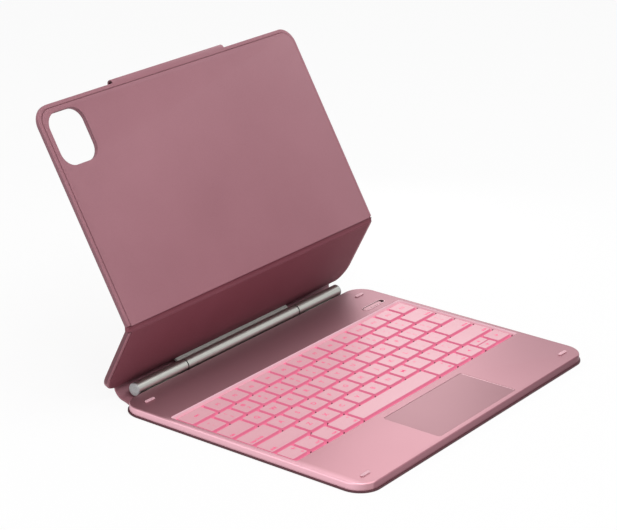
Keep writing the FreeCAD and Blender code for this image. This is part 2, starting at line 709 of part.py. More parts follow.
def makeLowerPanel():
    width = panelWidth
    body = newBody("lower_shell")
    reach = "(lowerLength - foldEdge + shellDrop + trimReach)"
    slab(body, "Shell", width, reach, "coverCorner", 0, f"{reach} / 2 - shellDrop", f"-{panelBack}",
         "shellThick")
    block(body, "FoldCut", f"{width} + 2 * cutOver", "2 * trimReach", "shellThick + 2 * cutOver", 0,
          "lowerLength - foldEdge + trimReach", f"-{panelBack} - cutOver", cut=True)
    back = number(f"-{panelBack}")
    top = number("lowerLength - foldEdge")
    dressEdges(body, "BackRim", "Fillet", atLevel(back, top), "rimRound")
    block(body, "LeafSeat", f"2 * {grooveX}", "leafReach + shellDrop + fitGap", "leafThick + cutOver", 0,
          "(leafReach - shellDrop + fitGap) / 2", f"-{panelBack} + shellThick - leafThick", cut=True)
    # as many rivets as the leaf is wide enough for, about its middle
    rivetCount = int((number(leafWidth) - 2 * number("rivetMargin")) / number("rivetPitch")) + 1
    rivetsAt = [f"{index - (rivetCount - 1) / 2} * rivetPitch" for index in range(rivetCount)]
    for index, x in enumerate(rivetsAt):
        rod(body, f"RivetHole{index}", "rivetRadius + pressGap", "shellThick", x, "rivetRise",
            f"-{panelBack} + rivetCover", upright=True, cut=True)
    onLower(body)
    body = newBody("lower_pad")
    reach = "(lowerLength - liningEdge + liningDrop + trimReach)"
    slab(body, "Lining", f"{width} - 2 * liningInset", reach, "coverCorner - liningInset", 0,
         f"{reach} / 2 - liningDrop", "-tabletRoom - liningThick", "liningThick")
    block(body, "FoldCut", f"{width} + 2 * cutOver", "2 * trimReach", "liningThick + 2 * cutOver", 0,
          "lowerLength - liningEdge + trimReach", "-tabletRoom - liningThick - cutOver", cut=True)
    front = number("-tabletRoom")
    dressEdges(body, "FrontRim", "Fillet", atLevel(front), "liningRound")
    onLower(body)
    body = newBody("hinge_leaf")
    leafZ = f"(-{panelBack} + shellThick - leafThick)"
    block(body, "Leaf", leafWidth, "leafReach + webDrop", "leafThick", 0, "(leafReach - webDrop) / 2",
          leafZ)
    block(body, "Web", leafWidth, "webThick", f"-{leafZ} - tubeRadius / 2", 0, "webThick / 2 - webDrop",
          leafZ)
    rod(body, "TubeSeat", "tubeRadius", f"{leafWidth} + 2 * cutOver", f"-{leafWidth} / 2 - cutOver", 0,
        0, cut=True)
    rivets = newBody("leaf_rivets")
    for index, x in enumerate(rivetsAt):
        rod(body, f"RivetHole{index}", "rivetRadius + pressGap", "leafThick + 2 * cutOver", x, "rivetRise",
            f"{leafZ} - cutOver", upright=True, cut=True)
        rod(rivets, f"Rivet{index}", "rivetRadius", "shellThick - rivetCover", x, "rivetRise",
            f"-{panelBack} + rivetCover", upright=True)
    onLower(body)
    onLower(rivets)


def makeUpperPanel():
    width = panelWidth
    body = newBody("upper_shell")
    reach = f"({upperLength} - foldEdge + trimReach)"
    slab(body, "Shell", width, reach, "coverCorner", 0, f"{upperLength} - {reach} / 2", 0, "shellThick")
    block(body, "FoldCut", f"{width} + 2 * cutOver", "2 * trimReach", "shellThick + 2 * cutOver", 0,
          "foldEdge - trimReach", "-cutOver", cut=True)
    dressEdges(body, "BackRim", "Fillet", atLevel(0.0, number("foldEdge")), "rimRound")
    slab(body, "CameraCutout", "cutWidth", "cutHeight", "cutCorner", cutX, cutY, "-cutOver",
         "shellThick + 2 * cutOver", cut=True)
    magnets = newBody("cover_magnets")
    for index in range(12):
        across, up = index % 6, index // 6
        x = f"({across} - 2.5) * discPitch"
        y = f"discFirst + {up} * discRise"
        rod(body, f"Seat{index}", "discRadius + pressGap", "discThick + cutOver", x, y,
            "shellThick - discThick", upright=True, cut=True)
        rod(magnets, f"Disc{index}", "discRadius", "discThick", x, y, "shellThick - discThick",
            upright=True)
    onUpper(body)
    onUpper(magnets)
    body = newBody("upper_pad")
    reach = f"({upperLength} - liningInset - liningEdge + trimReach)"
    slab(body, "Lining", f"{width} - 2 * liningInset", reach, "coverCorner - liningInset", 0,
         f"{upperLength} - liningInset - {reach} / 2", "shellThick", "liningThick")
    block(body, "FoldCut", f"{width} + 2 * cutOver", "2 * trimReach", "liningThick + 2 * cutOver", 0,
          "liningEdge - trimReach", "shellThick - cutOver", cut=True)
    dressEdges(body, "FrontRim", "Fillet", atLevel(number(panelThick)), "liningRound")
    slab(body, "CameraCutout", "cutWidth", "cutHeight", "cutCorner", cutX, cutY, "shellThick - cutOver",
         "liningThick + 2 * cutOver", cut=True)
    onUpper(body)


def makeFoldStrip():
    # soft lining that fills the open wedge between the two panels, drawn about the fold line
    turn = "(lowerLean - upperLean)"
    outline = []
    edge, brim = "(foldEdge - fitGap)", "(liningEdge - fitGap)"
    seat, face = "(shellThick - fitGap)", f"({panelThick} - foldSink)"
    for along, high in ((edge, "0"), (edge, seat), (brim, seat), (brim, face)):
        outline.append((along, high))
    for along, high in ((brim, face), (brim, seat), (edge, seat), (edge, "0")):
        y = f"-cos({turn}) * {along} - sin({turn}) * {high}"
        z = f"cos({turn}) * {high} - sin({turn}) * {along}"
        outline.append((y, z))
    body = newBody("fold_strip")
    prism(body, "Strip", outline, f"{panelWidth} - 2 * liningInset - 2 * liningRound")
    onUpper(body)


def makeSpine():
    # the skin runs flat behind the base, then turns up to the foot of the lower panel
    meet = f"({hingeY} + {panelBack} / sin(lowerLean) + {hingeZ} / tan(180 - lowerLean))"
    rest = "(shellDrop + fitGap)"
    tangent = f"(({hingeZ} - cos(lowerLean) * {panelBack}) / sin(lowerLean) - {rest})"
    bend = f"({tangent} / tan(lowerLean / 2))"
    start = "(baseDepth / 2 + skinLip)"
    turnY = f"({meet} - {tangent})"
    width = "(baseWidth - 2 * spineInset)"
    body = newBody("spine_skin")
    block(body, "Flat", width, f"{turnY} - {start}", "skinThick", 0, f"({turnY} + {start}) / 2", 0)
    rod(body, "Turn", bend, width, f"-{width} / 2", turnY, bend, sweep="lowerLean")
    rod(body, "Inside", f"{bend} - skinThick", f"{width} + 2 * cutOver", f"-{width} / 2 - cutOver",
        turnY, bend, cut=True)


def makeFlap():
    body = newBody("flap_root")
    half = "flapWidth / 2"
    block(body, "Front", "flapWidth", "liningInset + flapRise - fitGap", "flapThick", 0,
          f"{flapY} - (liningInset + flapRise - fitGap) / 2", f"{flapMid} + {flapOuter} - flapThick")
    rod(body, "Arch", flapOuter, "flapWidth", f"-{half}", flapY, flapMid, sweep="180")
    rod(body, "Inside", f"{flapOuter} - flapThick", "flapWidth + 2 * cutOver", f"-{half} - cutOver", flapY,
        flapMid, cut=True)
    onUpper(body)
    body = newBody("flap_tail")
    tailZ = f"({flapMid} - {flapOuter})"
    reach = "(flapLength + trimReach)"
    slab(body, "Tail", "flapWidth", reach, "flapCorner", 0, f"{flapY} - flapLength + {reach} / 2", tailZ,
         "flapThick")
    block(body, "TopCut", "flapWidth + 2 * cutOver", "2 * trimReach", "flapThick + 2 * cutOver", 0,
          f"{flapY} + trimReach - fitGap", f"{tailZ} - cutOver", cut=True)
    block(body, "BarSeat", "barLength + 2 * fitGap", "barWidth + 2 * fitGap", "barThick + cutOver", 0,
          f"{flapY} - flapLength + barRise + barWidth / 2", f"{tailZ} + flapThick - barThick", cut=True)
    onUpper(body)
    body = newBody("flap_magnet")
    block(body, "Bar", "barLength", "barWidth", "barThick", 0,
          f"{flapY} - flapLength + barRise + barWidth / 2", f"{tailZ} + flapThick - barThick")
    onUpper(body)


def writeParts():
    doc.recompute()
    for item in doc.Objects:
        if "Invalid" in item.State or "Error" in item.State:
            raise ValueError(f"{item.Label} failed: {item.State}")
    for label, item in nodes.items():
        if item.Shape.isNull() or not item.Shape.isValid():
            raise ValueError(f"{label} has no valid shape")
    os.makedirs("parts", exist_ok=True)
    for label, item in nodes.items():
        item.Shape.exportStep(f"parts/{label}.step")
        print(label, len(item.Shape.Solids), round(item.Shape.Volume, 1))
    print(len(nodes), "nodes")


makeBaseSkin()
makeBottomPlate()
makeBaseTray()
makeKeyBed()
makeKeys()
makeDomes()
makeTrackpad()
makePowerSwitch()
makeBumpers()
makeInsides()
makeHinge()
makeBrackets()
makeLowerPanel()
makeUpperPanel()
makeFoldStrip()
makeSpine()
makeFlap()
writeParts()
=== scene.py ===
import json
import math

import bmesh
import bpy
from mathutils import Matrix, Vector


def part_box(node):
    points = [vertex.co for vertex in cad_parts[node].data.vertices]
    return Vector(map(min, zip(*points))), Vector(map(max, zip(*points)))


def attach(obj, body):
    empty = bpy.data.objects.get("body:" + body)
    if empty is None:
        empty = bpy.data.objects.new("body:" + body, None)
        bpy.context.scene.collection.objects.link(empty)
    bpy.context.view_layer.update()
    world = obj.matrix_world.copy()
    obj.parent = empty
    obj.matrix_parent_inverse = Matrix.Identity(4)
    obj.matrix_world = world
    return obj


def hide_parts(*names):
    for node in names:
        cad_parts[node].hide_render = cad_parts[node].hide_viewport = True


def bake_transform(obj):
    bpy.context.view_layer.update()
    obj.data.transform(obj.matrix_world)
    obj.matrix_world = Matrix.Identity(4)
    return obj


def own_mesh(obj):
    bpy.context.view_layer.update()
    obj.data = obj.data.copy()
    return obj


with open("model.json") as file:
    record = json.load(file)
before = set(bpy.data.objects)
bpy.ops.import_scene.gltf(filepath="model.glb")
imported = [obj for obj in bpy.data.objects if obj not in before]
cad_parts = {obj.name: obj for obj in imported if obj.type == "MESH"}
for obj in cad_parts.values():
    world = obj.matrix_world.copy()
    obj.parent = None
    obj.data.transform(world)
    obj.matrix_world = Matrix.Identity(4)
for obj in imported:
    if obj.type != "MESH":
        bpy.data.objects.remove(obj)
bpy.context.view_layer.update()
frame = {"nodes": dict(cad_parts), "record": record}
mm = 0.001
nodes = frame["nodes"]
bodies = frame["record"]["behaviour"]["bodies"]
joints = {joint["name"]: joint for joint in frame["record"]["behaviour"]["joints"]}
bpy.ops.object.select_all(action="DESELECT")
print("frame loaded,", len(nodes), "nodes")


# Places that pieces and finishes share, in metres
sheetReach = 0.3 * mm  # the lit sheet runs this far under the edge of the key well
sheetLow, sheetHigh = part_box("switch_membrane")
wellLow = [v + sheetReach for v in sheetLow]
wellHigh = [v - sheetReach for v in sheetHigh]
trayLow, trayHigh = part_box("base_tray")
deckLevel = trayHigh[2]
padLow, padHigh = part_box("trackpad_glass")


def inMillimetres(box):
    return [[v / mm for v in corner] for corner in box]


# Shader helpers
def rgb(hexCode):
    parts = [int(hexCode[i:i + 2], 16) / 255 for i in (0, 2, 4)]
    linear = [p / 12.92 if p <= 0.04045 else ((p + 0.055) / 1.055) ** 2.4 for p in parts]
    return (*linear, 1.0)


def rgbAll(hexCodes):
    return [rgb(hexCode) for hexCode in hexCodes]


class Wire:
    # one node output that can be used in plain arithmetic
    def __init__(self, finish, socket):
        self.finish = finish
        self.socket = socket

    def maths(self, operation, *terms, clamp=False):
        settings = {"operation": operation, "use_clamp": clamp}
        return self.finish.add("ShaderNodeMath", settings, dict(enumerate(terms)))

    def __add__(self, other):
        return self.maths("ADD", self, other)

    def __radd__(self, other):
        return self.maths("ADD", other, self)

    def __sub__(self, other):
        return self.maths("SUBTRACT", self, other)

    def __rsub__(self, other):
        return self.maths("SUBTRACT", other, self)

    def __mul__(self, other):
        return self.maths("MULTIPLY", self, other)

    def __rmul__(self, other):
        return self.maths("MULTIPLY", other, self)

    def above(self, edge, soft):
        # 0 below the edge, 1 past edge + soft
        return self.maths("DIVIDE", self - edge, soft, clamp=True)

    def within(self, low, high, soft):
        return (self - low).above(0.0, soft) * (high - self).above(0.0, soft)

    def most(self, other):
        return self.maths("MAXIMUM", self, other)


class Finish:
    # the nodes of a material or a world, and the sockets of its main shader
    def __init__(self, owner, shader="Principled BSDF", output="Material Output"):
        owner.use_nodes = True
        self.owner = owner
        self.tree = owner.node_tree
        self.shader = self.tree.nodes[shader]
        self.output = self.tree.nodes[output]

    def add(self, kind, settings=None, inputs=None, out=0):
        node = self.tree.nodes.new(kind)
        for key, value in (settings or {}).items():
            setattr(node, key, value)
        for key, value in (inputs or {}).items():
            self.plug(node.inputs[key], value)
        return Wire(self, node.outputs[out])

    def plug(self, socket, value):
        if isinstance(value, Wire):
            self.tree.links.new(value.socket, socket)
        else:
            socket.default_value = value

    def set(self, **values):
        for key, value in values.items():
            self.plug(self.shader.inputs[key.replace("_", " ")], value)

    def place(self):
        return self.add("ShaderNodeTexCoord", out="Object")

    def axes(self, vector):
        split = self.add("ShaderNodeSeparateXYZ", inputs={0: vector})
        return [Wire(self, socket) for socket in split.socket.node.outputs]

    def stretch(self, vector, scale):
        return self.add("ShaderNodeMapping", inputs={"Vector": vector, "Scale": scale})

    def noise(self, vector, scale, detail=2.0):
        return self.add("ShaderNodeTexNoise", inputs={"Vector": vector, "Scale": scale, "Detail": detail})

    def cells(self, vector, scale):
        settings = {"feature": "DISTANCE_TO_EDGE"}
        return self.add("ShaderNodeTexVoronoi", settings, {"Vector": vector, "Scale": scale})

    def blendColour(self, mask, first, second):
        return self.add("ShaderNodeMix", {"data_type": "RGBA"}, {0: mask, 6: first, 7: second}, out=2)

    def bump(self, height, strength, distance):
        inputs = {"Height": height, "Strength": strength, "Distance": distance}
        return self.add("ShaderNodeBump", inputs=inputs)


def newFinish(name):
    return Finish(bpy.data.materials.new(name))


# Finishes
leatherLook = {
    "grain": 1500, "wrinkle": 420, "cloud": 14.0, "poreEdge": 0.02, "poreSoft": 0.22,
    "cloudFrom": 0.35, "cloudTone": 0.9, "poreTone": 0.22, "cloudRough": 0.12, "poreRough": 0.1,
    "poreHeight": 0.6, "wrinkleHeight": 0.8, "bump": 0.35, "bumpDepth": 0.12 * mm,
}


def leather(name, colour, dark, roughness, gloss):
    look = leatherLook
    finish = newFinish(name)
    where = finish.place()
    grain = finish.cells(where, look["grain"])
    wrinkle = finish.noise(where, look["wrinkle"], 4.0)
    cloudy = finish.noise(where, look["cloud"], 3.0)
    pores = grain.above(look["poreEdge"], look["poreSoft"])
    tone = (cloudy - look["cloudFrom"]) * look["cloudTone"] + (1 - pores) * look["poreTone"]
    finish.set(Base_Color=finish.blendColour(tone.above(0.0, 1.0), rgb(colour), rgb(dark)))
    rough = roughness + (cloudy - 0.5) * look["cloudRough"] + (1 - pores) * look["poreRough"]
    finish.set(Roughness=rough, Specular_IOR_Level=gloss)
    height = pores * look["poreHeight"] + wrinkle * look["wrinkleHeight"]
    finish.set(Normal=finish.bump(height, look["bump"], look["bumpDepth"]))
    return finish.owner


satinLook = {
    "blast": 5200, "haze": 9.0, "bump": 0.08, "bumpDepth": 0.03 * mm,
    "roughness": 0.5, "hazeRough": 0.06, "blastRough": 0.05,
    # the fade, front and side entries paint shade and highlight into the tray's colour
    "shadeFadeStart": (-110 * mm, -90 * mm), "shadeFadeRate": (2.3, 3.0), "shadeFadeHaze": 0.2,
    "front": ("9E6F79", "80565F"), "frontShadeStart": -100 * mm, "frontShadeRun": 200 * mm, "frontShadeDeep": 1.05 * mm,
    "side": "DDADB8", "sideHighlightReach": 6 * mm, "sideHighlightSoft": 5 * mm, "sideHighlightRear": 5 * mm,
    "sideHighlightRearSoft": 12 * mm, "edge": 0.4 * mm, "edgeSoft": 0.5 * mm,
}
# the walls of the key well: their own pale face, and a painted glow of the keys' light that changes with
# depth
wellLook = {"face": "DFC6CD", "paintedGlow": ("767A7C", "706466"), "glowFrom": 0.8 * mm, "glowRun": 1.2 * mm,
            "lip": 0.4 * mm, "rim": 0.05 * mm, "soft": 0.1 * mm}


def trayTone(finish, x, y, z, haze, colour, dark):
    # painted light: the deck darkens towards the rear right as painted shade, the front wall is painted
    # darker as shade, and the left wall and the strip beside the keys are painted lighter as highlight
    look = satinLook
    ways = zip((x, y), look["shadeFadeStart"], look["shadeFadeRate"])
    shadeDistance = [(axis - start) * rate for axis, start, rate in ways]
    shadeFade = (shadeDistance[0] + shadeDistance[1] + (haze - 0.5) * look["shadeFadeHaze"]).above(0.0, 1.0)
    deck = finish.blendColour(shadeFade, rgb(colour), rgb(dark))
    frontShadeMask = (trayLow[1] + look["frontShadeDeep"] - y).above(0.0, look["edgeSoft"])
    frontShadeFade = x.above(look["frontShadeStart"], look["frontShadeRun"])
    frontPaintedShade = finish.blendColour(frontShadeFade, *rgbAll(look["front"]))
    highlightBesideKeys = (wellHigh[1] + look["sideHighlightRear"] - y).above(0.0, look["sideHighlightRearSoft"])
    onWall = (deckLevel - look["edge"] - z).above(0.0, look["edge"])
    sideHighlightMask = (trayLow[0] + look["sideHighlightReach"] - x).above(0.0, look["sideHighlightSoft"]) * highlightBesideKeys.most(onWall)
    face = finish.blendColour(frontShadeMask, deck, frontPaintedShade)
    return finish.blendColour(sideHighlightMask * (1 - frontShadeMask), face, rgb(look["side"]))


def satinMetal(name, colour, dark):
    # bead-blasted anodised metal carrying painted light; the walls of the key well are pale and not
    # metal, with a painted glow of the keys' light on them
    look = satinLook
    finish = newFinish(name)
    where = finish.place()
    x, y, z = finish.axes(where)
    blast = finish.noise(where, look["blast"], 1.0)
    haze = finish.noise(where, look["haze"])
    rough = look["roughness"] + (haze - 0.5) * look["hazeRough"] + (blast - 0.5) * look["blastRough"]
    finish.set(Roughness=rough)
    finish.set(Normal=finish.bump(blast, look["bump"], look["bumpDepth"]))
    lip, soft = wellLook["lip"], wellLook["soft"]
    inX = x.within(wellLow[0] - lip, wellHigh[0] + lip, soft)
    inY = y.within(wellLow[1] - lip, wellHigh[1] + lip, soft)
    well = inX * inY * (deckLevel - wellLook["rim"] - z).above(0.0, soft)
    lower = (deckLevel - z).above(wellLook["glowFrom"], wellLook["glowRun"])
    paintedGlow = finish.blendColour(lower, *rgbAll(wellLook["paintedGlow"]))
    tone = trayTone(finish, x, y, z, haze, colour, dark)
    finish.set(Base_Color=finish.blendColour(well, tone, rgb(wellLook["face"])), Metallic=1 - well)
    finish.set(Emission_Color=finish.blendColour(well, rgb("000000"), paintedGlow), Emission_Strength=1.0)
    return finish.owner


# the caps' glow is painted light that brightens them
capLook = {"fine": 3800, "soft": 26, "face": ("88686F", "82636A"), "paintedGlow": ("B9868F", "B6838C"),
           "roughness": 0.42, "fineRough": 0.08, "bump": 0.06, "bumpDepth": 0.04 * mm}


def keyPlastic(name):
    # milky caps with a painted glow, partly the light beneath them coming through and partly painted
    # light that brightens the caps
    look = capLook
    finish = newFinish(name)
    where = finish.place()
    fine = finish.noise(where, look["fine"], 1.0)
    soft = finish.noise(where, look["soft"])
    face = finish.blendColour(soft, *rgbAll(look["face"]))
    paintedGlow = finish.blendColour(soft, *rgbAll(look["paintedGlow"]))
    finish.set(Base_Color=face, Emission_Color=paintedGlow, Emission_Strength=1.0)
    finish.set(Roughness=look["roughness"] + (fine - 0.5) * look["fineRough"])
    finish.set(Normal=finish.bump(fine, look["bump"], look["bumpDepth"]))
    return finish.owner


sheetGlow = {"patch": 60, "detail": 2.0, "unlit": "8E3550", "strength": 0.78, "roughness": 0.5}
inkGlow = {"patch": 300, "detail": 1.0, "unlit": "A83A5C", "strength": 0.6, "roughness": 0.5}


def litPlastic(name, colour, deep, look):
    # a glowing plastic: the lit sheet and the lettering have lamps behind them, while on the sides of the
    # caps the glow is painted light from the lit sheet below
    finish = newFinish(name)
    patch = finish.noise(finish.place(), look["patch"], look["detail"])
    finish.set(Base_Color=rgb(look["unlit"]), Roughness=look["roughness"])
    finish.set(Emission_Color=finish.blendColour(patch, rgb(colour), rgb(deep)))
    finish.set(Emission_Strength=look["strength"])
    return finish.owner


glassLook = {"fine": 2600, "haze": 18, "face": ("986B73", "91656D"), "metallic": 0.7, "roughness": 0.4,
             "fineRough": 0.05, "bump": 0.04, "bumpDepth": 0.03 * mm,
             # the line is a painted highlight
             "line": "E4BAC2", "edgeHighlightWidth": 0.5 * mm, "edgeHighlightSoft": 0.3 * mm}


def padGlass(name):
    # satin glass with a painted highlight line along its right edge
    look = glassLook
    finish = newFinish(name)
    where = finish.place()
    x = finish.axes(where)[0]
    line = 1 - (padHigh[0] - x).above(look["edgeHighlightWidth"], look["edgeHighlightSoft"])
    fine = finish.noise(where, look["fine"], 1.0)
    haze = finish.noise(where, look["haze"])
    face = finish.blendColour(haze, *rgbAll(look["face"]))
    finish.set(Base_Color=finish.blendColour(line, face, rgb(look["line"])), Metallic=look["metallic"])
    finish.set(Roughness=look["roughness"] + (fine - 0.5) * look["fineRough"])
    finish.set(Normal=finish.bump(fine, look["bump"], look["bumpDepth"]))
    return finish.owner


steelLook = {"dark": "8E8F8B", "haze": 30, "lineRough": 0.14, "hazeRough": 0.06, "bump": 0.06,
             "bumpDepth": 0.04 * mm}


def brushedSteel(name, colour, along, roughness, metallic):
    # fine lines that run along one axis
    look = steelLook
    finish = newFinish(name)
    where = finish.place()
    lines = finish.noise(finish.stretch(where, along), 1.0, 3.0)
    haze = finish.noise(where, look["haze"])
    finish.set(Base_Color=finish.blendColour(lines, rgb(colour), rgb(look["dark"])), Metallic=metallic)
    finish.set(Roughness=roughness + (lines - 0.5) * look["lineRough"] + (haze - 0.5) * look["hazeRough"])
    finish.set(Normal=finish.bump(lines, look["bump"], look["bumpDepth"]))
    return finish.owner


plasticLook = {"fine": 2200, "haze": 40, "shade": 0.82, "fineRough": 0.1, "bump": 0.05,
               "bumpDepth": 0.04 * mm}


def plainPlastic(name, colour, roughness, metallic=0.0):
    look = plasticLook
    finish = newFinish(name)
    where = finish.place()
    fine = finish.noise(where, look["fine"])
    haze = finish.noise(where, look["haze"])
    shade = (*[part * look["shade"] for part in rgb(colour)[:3]], 1.0)
    finish.set(Base_Color=finish.blendColour(haze, rgb(colour), shade), Metallic=metallic)
    finish.set(Roughness=roughness + (fine - 0.5) * look["fineRough"])
    finish.set(Normal=finish.bump(fine, look["bump"], look["bumpDepth"]))
    return finish.owner


looks = {
    "mauveLeather": leather("mauveLeather", "A06E78", "8F6069", 0.5, 0.3),
    # the linings' colour is the mauve leather in painted shade
    "shadedLining": leather("shadedLining", "7F4A54", "6E3D47", 0.7, 0.1),
    # the deck's colour, then the painted shade that it darkens to at the rear right
    "roseMetal": satinMetal("roseMetal", "C2929B", "9A727A"),
    "rosePlastic": keyPlastic("rosePlastic"),
    # the sides of the caps glow with painted light
    "capSidePaintedGlow": litPlastic("capSidePaintedGlow", "CE7490", "C86E89", sheetGlow),
    "litSheet": litPlastic("litSheet", "E67A9A", "DE7091", sheetGlow),
    "legendInk": litPlastic("legendInk", "F2588A", "E84E80", inkGlow),
    "padGlass": padGlass("padGlass"),
    "tubeSteel": brushedSteel("tubeSteel", "D2D2CC", (25, 4000, 4000), 0.36, 1.0),
    "capSteel": brushedSteel("capSteel", "CDD0D3", (3000, 900, 900), 0.45, 0.45),
    "leafSteel": brushedSteel("leafSteel", "CFCFC9", (40, 3000, 3000), 0.45, 0.3),
    "darkRing": plainPlastic("darkRing", "2B2826", 0.5),
    "roseRubber": plainPlastic("roseRubber", "E3B4BE", 0.6),
    "trimRose": plainPlastic("trimRose", "E9BEC7", 0.4, 0.3),
    "rosePaint": plainPlastic("rosePaint", "B4878F", 0.45, 0.6),
    # the edge and plum paints are painted shade on cut edges and inside the switch's bead
    "edgePaintedShade": plainPlastic("edgePaintedShade", "865560", 0.45),
    "plumPaintedShade": plainPlastic("plumPaintedShade", "6B3944", 0.5),
    # a dark colour for posts that stand for shadow between the caps
    "shadowPostPlum": plainPlastic("shadowPostPlum", "7E2F4A", 0.5),
    # painted shade on the base skin's sides and inside the flap's roll
    "skinPaintedShade": plainPlastic("skinPaintedShade", "4A1825", 0.55),
    "boardGreen": plainPlastic("boardGreen", "2E5A3C", 0.5),
    "cellFoil": plainPlastic("cellFoil", "9A9DA2", 0.35, 0.6),
    "nickel": plainPlastic("nickel", "B8B6B0", 0.3, 0.9),
    "clearGuide": plainPlastic("clearGuide", "E8DDE0", 0.3),
    "ribbonFilm": plainPlastic("ribbonFilm", "C07A3A", 0.4),
}
nodeLooks = {
    "padGlass": ["trackpad_glass"],
    "litSheet": ["switch_membrane"],
    "tubeSteel": ["hinge_tube_left", "hinge_tube_right", "hinge_tube_center"],
    "capSteel": ["hinge_caps"],
    "leafSteel": ["hinge_leaf", "leaf_rivets", "hinge_brackets", "base_screws", "bottom_plate",
                  "trackpad_bracket"],
    "darkRing": ["hinge_washers", "slide_switch"],
    "nickel": ["base_magnets", "cover_magnets", "flap_magnet", "hinge_pins", "friction_sleeves",
               "charge_socket", "trackpad_dome", "key_plate"],
    "rosePaint": ["power_slider"],
    "boardGreen": ["main_board", "trackpad_board"],
    "cellFoil": ["battery_cells"],
    "clearGuide": ["light_guide"],
    "ribbonFilm": ["ribbon_cable"],
}


def dress(piece, look):
    piece.data.materials.clear()
    piece.data.materials.append(looks[look])


def paintFaces(piece, look, painted):
    # a second finish on the faces that are picked
    piece.data.materials.append(looks[look])
    for face in piece.data.polygons:
        if painted(face):
            face.material_index = 1


for look, names in nodeLooks.items():
    for name in names:
        node = nodes[name]
        if not node.material_slots:
            node.data.materials.append(looks[look])
        for place in node.material_slots:
            place.material = looks[look]
print("finishes made,", len(looks))


# Modelling helpers
hair = 0.001 * mm  # how near a level counts as on it
mostly = 0.9  # the share of a run or of a normal that counts as upright


def startPiece(name, piece):
    piece.name = name
    piece.data.name = name
    return piece


def newPrimitive(name, addPrimitive, **settings):
    # a primitive to start from, with its place in its mesh
    bpy.ops.object.select_all(action="DESELECT")
    addPrimitive(**settings)
    piece = startPiece(name, bpy.context.active_object)
    bpy.ops.object.transform_apply(location=True, rotation=True, scale=True)
    return piece


def activate(piece):
    bpy.ops.object.select_all(action="DESELECT")
    piece.select_set(True)
    bpy.context.view_layer.objects.active = piece


def editing(piece, chosen, mode="EDGE"):
    # opens the piece in edit mode with only the chosen edges or faces selected
    activate(piece)
    bpy.ops.object.mode_set(mode="EDIT")
    bpy.ops.mesh.select_mode(type=mode)
    bpy.ops.mesh.select_all(action="DESELECT")
    mesh = bmesh.from_edit_mesh(piece.data)
    for part in mesh.edges if mode == "EDGE" else mesh.faces:
        if chosen(part):
            part.select_set(True)
    bmesh.update_edit_mesh(piece.data)


def doneEditing():
    bpy.ops.object.mode_set(mode="OBJECT")


def bevelWhere(piece, chosen, offset, segments, mode="EDGE"):
    editing(piece, chosen, mode)
    bpy.ops.mesh.bevel(offset=offset * mm, segments=segments, affect="EDGES")
    doneEditing()


def middle(edge):
    return (edge.verts[0].co + edge.verts[1].co) / 2


def upright(edge):
    run = edge.verts[1].co - edge.verts[0].co
    return abs(run.z) > mostly * run.length


def facesUp(face):
    return face.normal.z > mostly


def applyModifier(piece, kind, **settings):
    activate(piece)
    modifier = piece.modifiers.new(kind.title(), kind)
    for key, value in settings.items():
        setattr(modifier, key, value)
    bpy.ops.object.modifier_apply(modifier=modifier.name)


def roundSlab(name, low, high, corner, segments=12, corners=lambda spot: True):
    # a slab between two corners in millimetres, its upright edges rounded
    size = [(b - a) * mm for a, b in zip(low, high)]
    centre = [(a + b) / 2 * mm for a, b in zip(low, high)]
    piece = newPrimitive(name, bpy.ops.mesh.primitive_cube_add, size=1, location=centre, scale=size)
    editing(piece, lambda edge: upright(edge) and corners(middle(edge)))
    bpy.ops.mesh.bevel(offset=corner * mm, segments=segments, affect="EDGES", clamp_overlap=True)
    doneEditing()
    return piece


def grown(low, high, by, bottom, top):
    # a box from two corners, wider by so much all round, between two levels
    return (low[0] - by, low[1] - by, bottom), (high[0] + by, high[1] + by, top)


def carve(piece, cutter):
    applyModifier(piece, "BOOLEAN", operation="DIFFERENCE", object=cutter, solver="EXACT")
    bpy.data.objects.remove(cutter)


def shadeSmooth(piece, angle):
    activate(piece)
    bpy.ops.object.shade_smooth_by_angle(angle=math.radians(angle))


def soften(piece, width, segments=3, angle=32):
    applyModifier(piece, "BEVEL", width=width * mm, segments=segments, limit_method="ANGLE",
                  angle_limit=math.radians(angle), use_clamp_overlap=True)
    shadeSmooth(piece, angle)


def stand(piece, matrix):
    # puts a piece that was modelled flat in its place on the object
    piece.matrix_world = matrix
    activate(piece)
    bpy.ops.object.transform_apply(location=True, rotation=True, scale=True)


def profileBar(name, outline, half):
    # a closed outline in Y and Z, drawn along X
    piece = newPrimitive(name, bpy.ops.mesh.primitive_circle_add, vertices=len(outline), fill_type="NGON")
    for vertex, (y, z) in zip(piece.data.vertices, outline):
        vertex.co = (-half * mm, y * mm, z * mm)
    editing(piece, lambda face: True, "FACE")
    bpy.ops.mesh.extrude_region_move(TRANSFORM_OT_translate={"value": (2 * half * mm, 0, 0)})
    bpy.ops.mesh.select_all(action="SELECT")
    bpy.ops.mesh.normals_make_consistent(inside=False)
    doneEditing()
    return piece


def joinAll(name, pieces):
    bpy.ops.object.select_all(action="DESELECT")
    for piece in pieces:
        piece.select_set(True)
    bpy.context.view_layer.objects.active = pieces[0]
    if len(pieces) > 1:
        bpy.ops.object.join()
    return startPiece(name, bpy.context.active_object)


def copyAt(shape, offset):
    piece = shape.copy()
    piece.data = shape.data.copy()
    piece.data.transform(Matrix.Translation(Vector(offset) * mm))
    bpy.context.collection.objects.link(piece)
    return piece


def arc(centre, radius, start, stop, count):
    turns = [math.radians(start + (stop - start) * i / (count - 1)) for i in range(count)]
    return [(centre[0] + radius * math.cos(turn), centre[1] + radius * math.sin(turn)) for turn in turns]


def leaningFrame(jointName, angle):
    spot = Vector(joints[jointName]["pos_m"])
    return Matrix.Translation(spot) @ Matrix.Rotation(math.radians(angle), 4, "X")


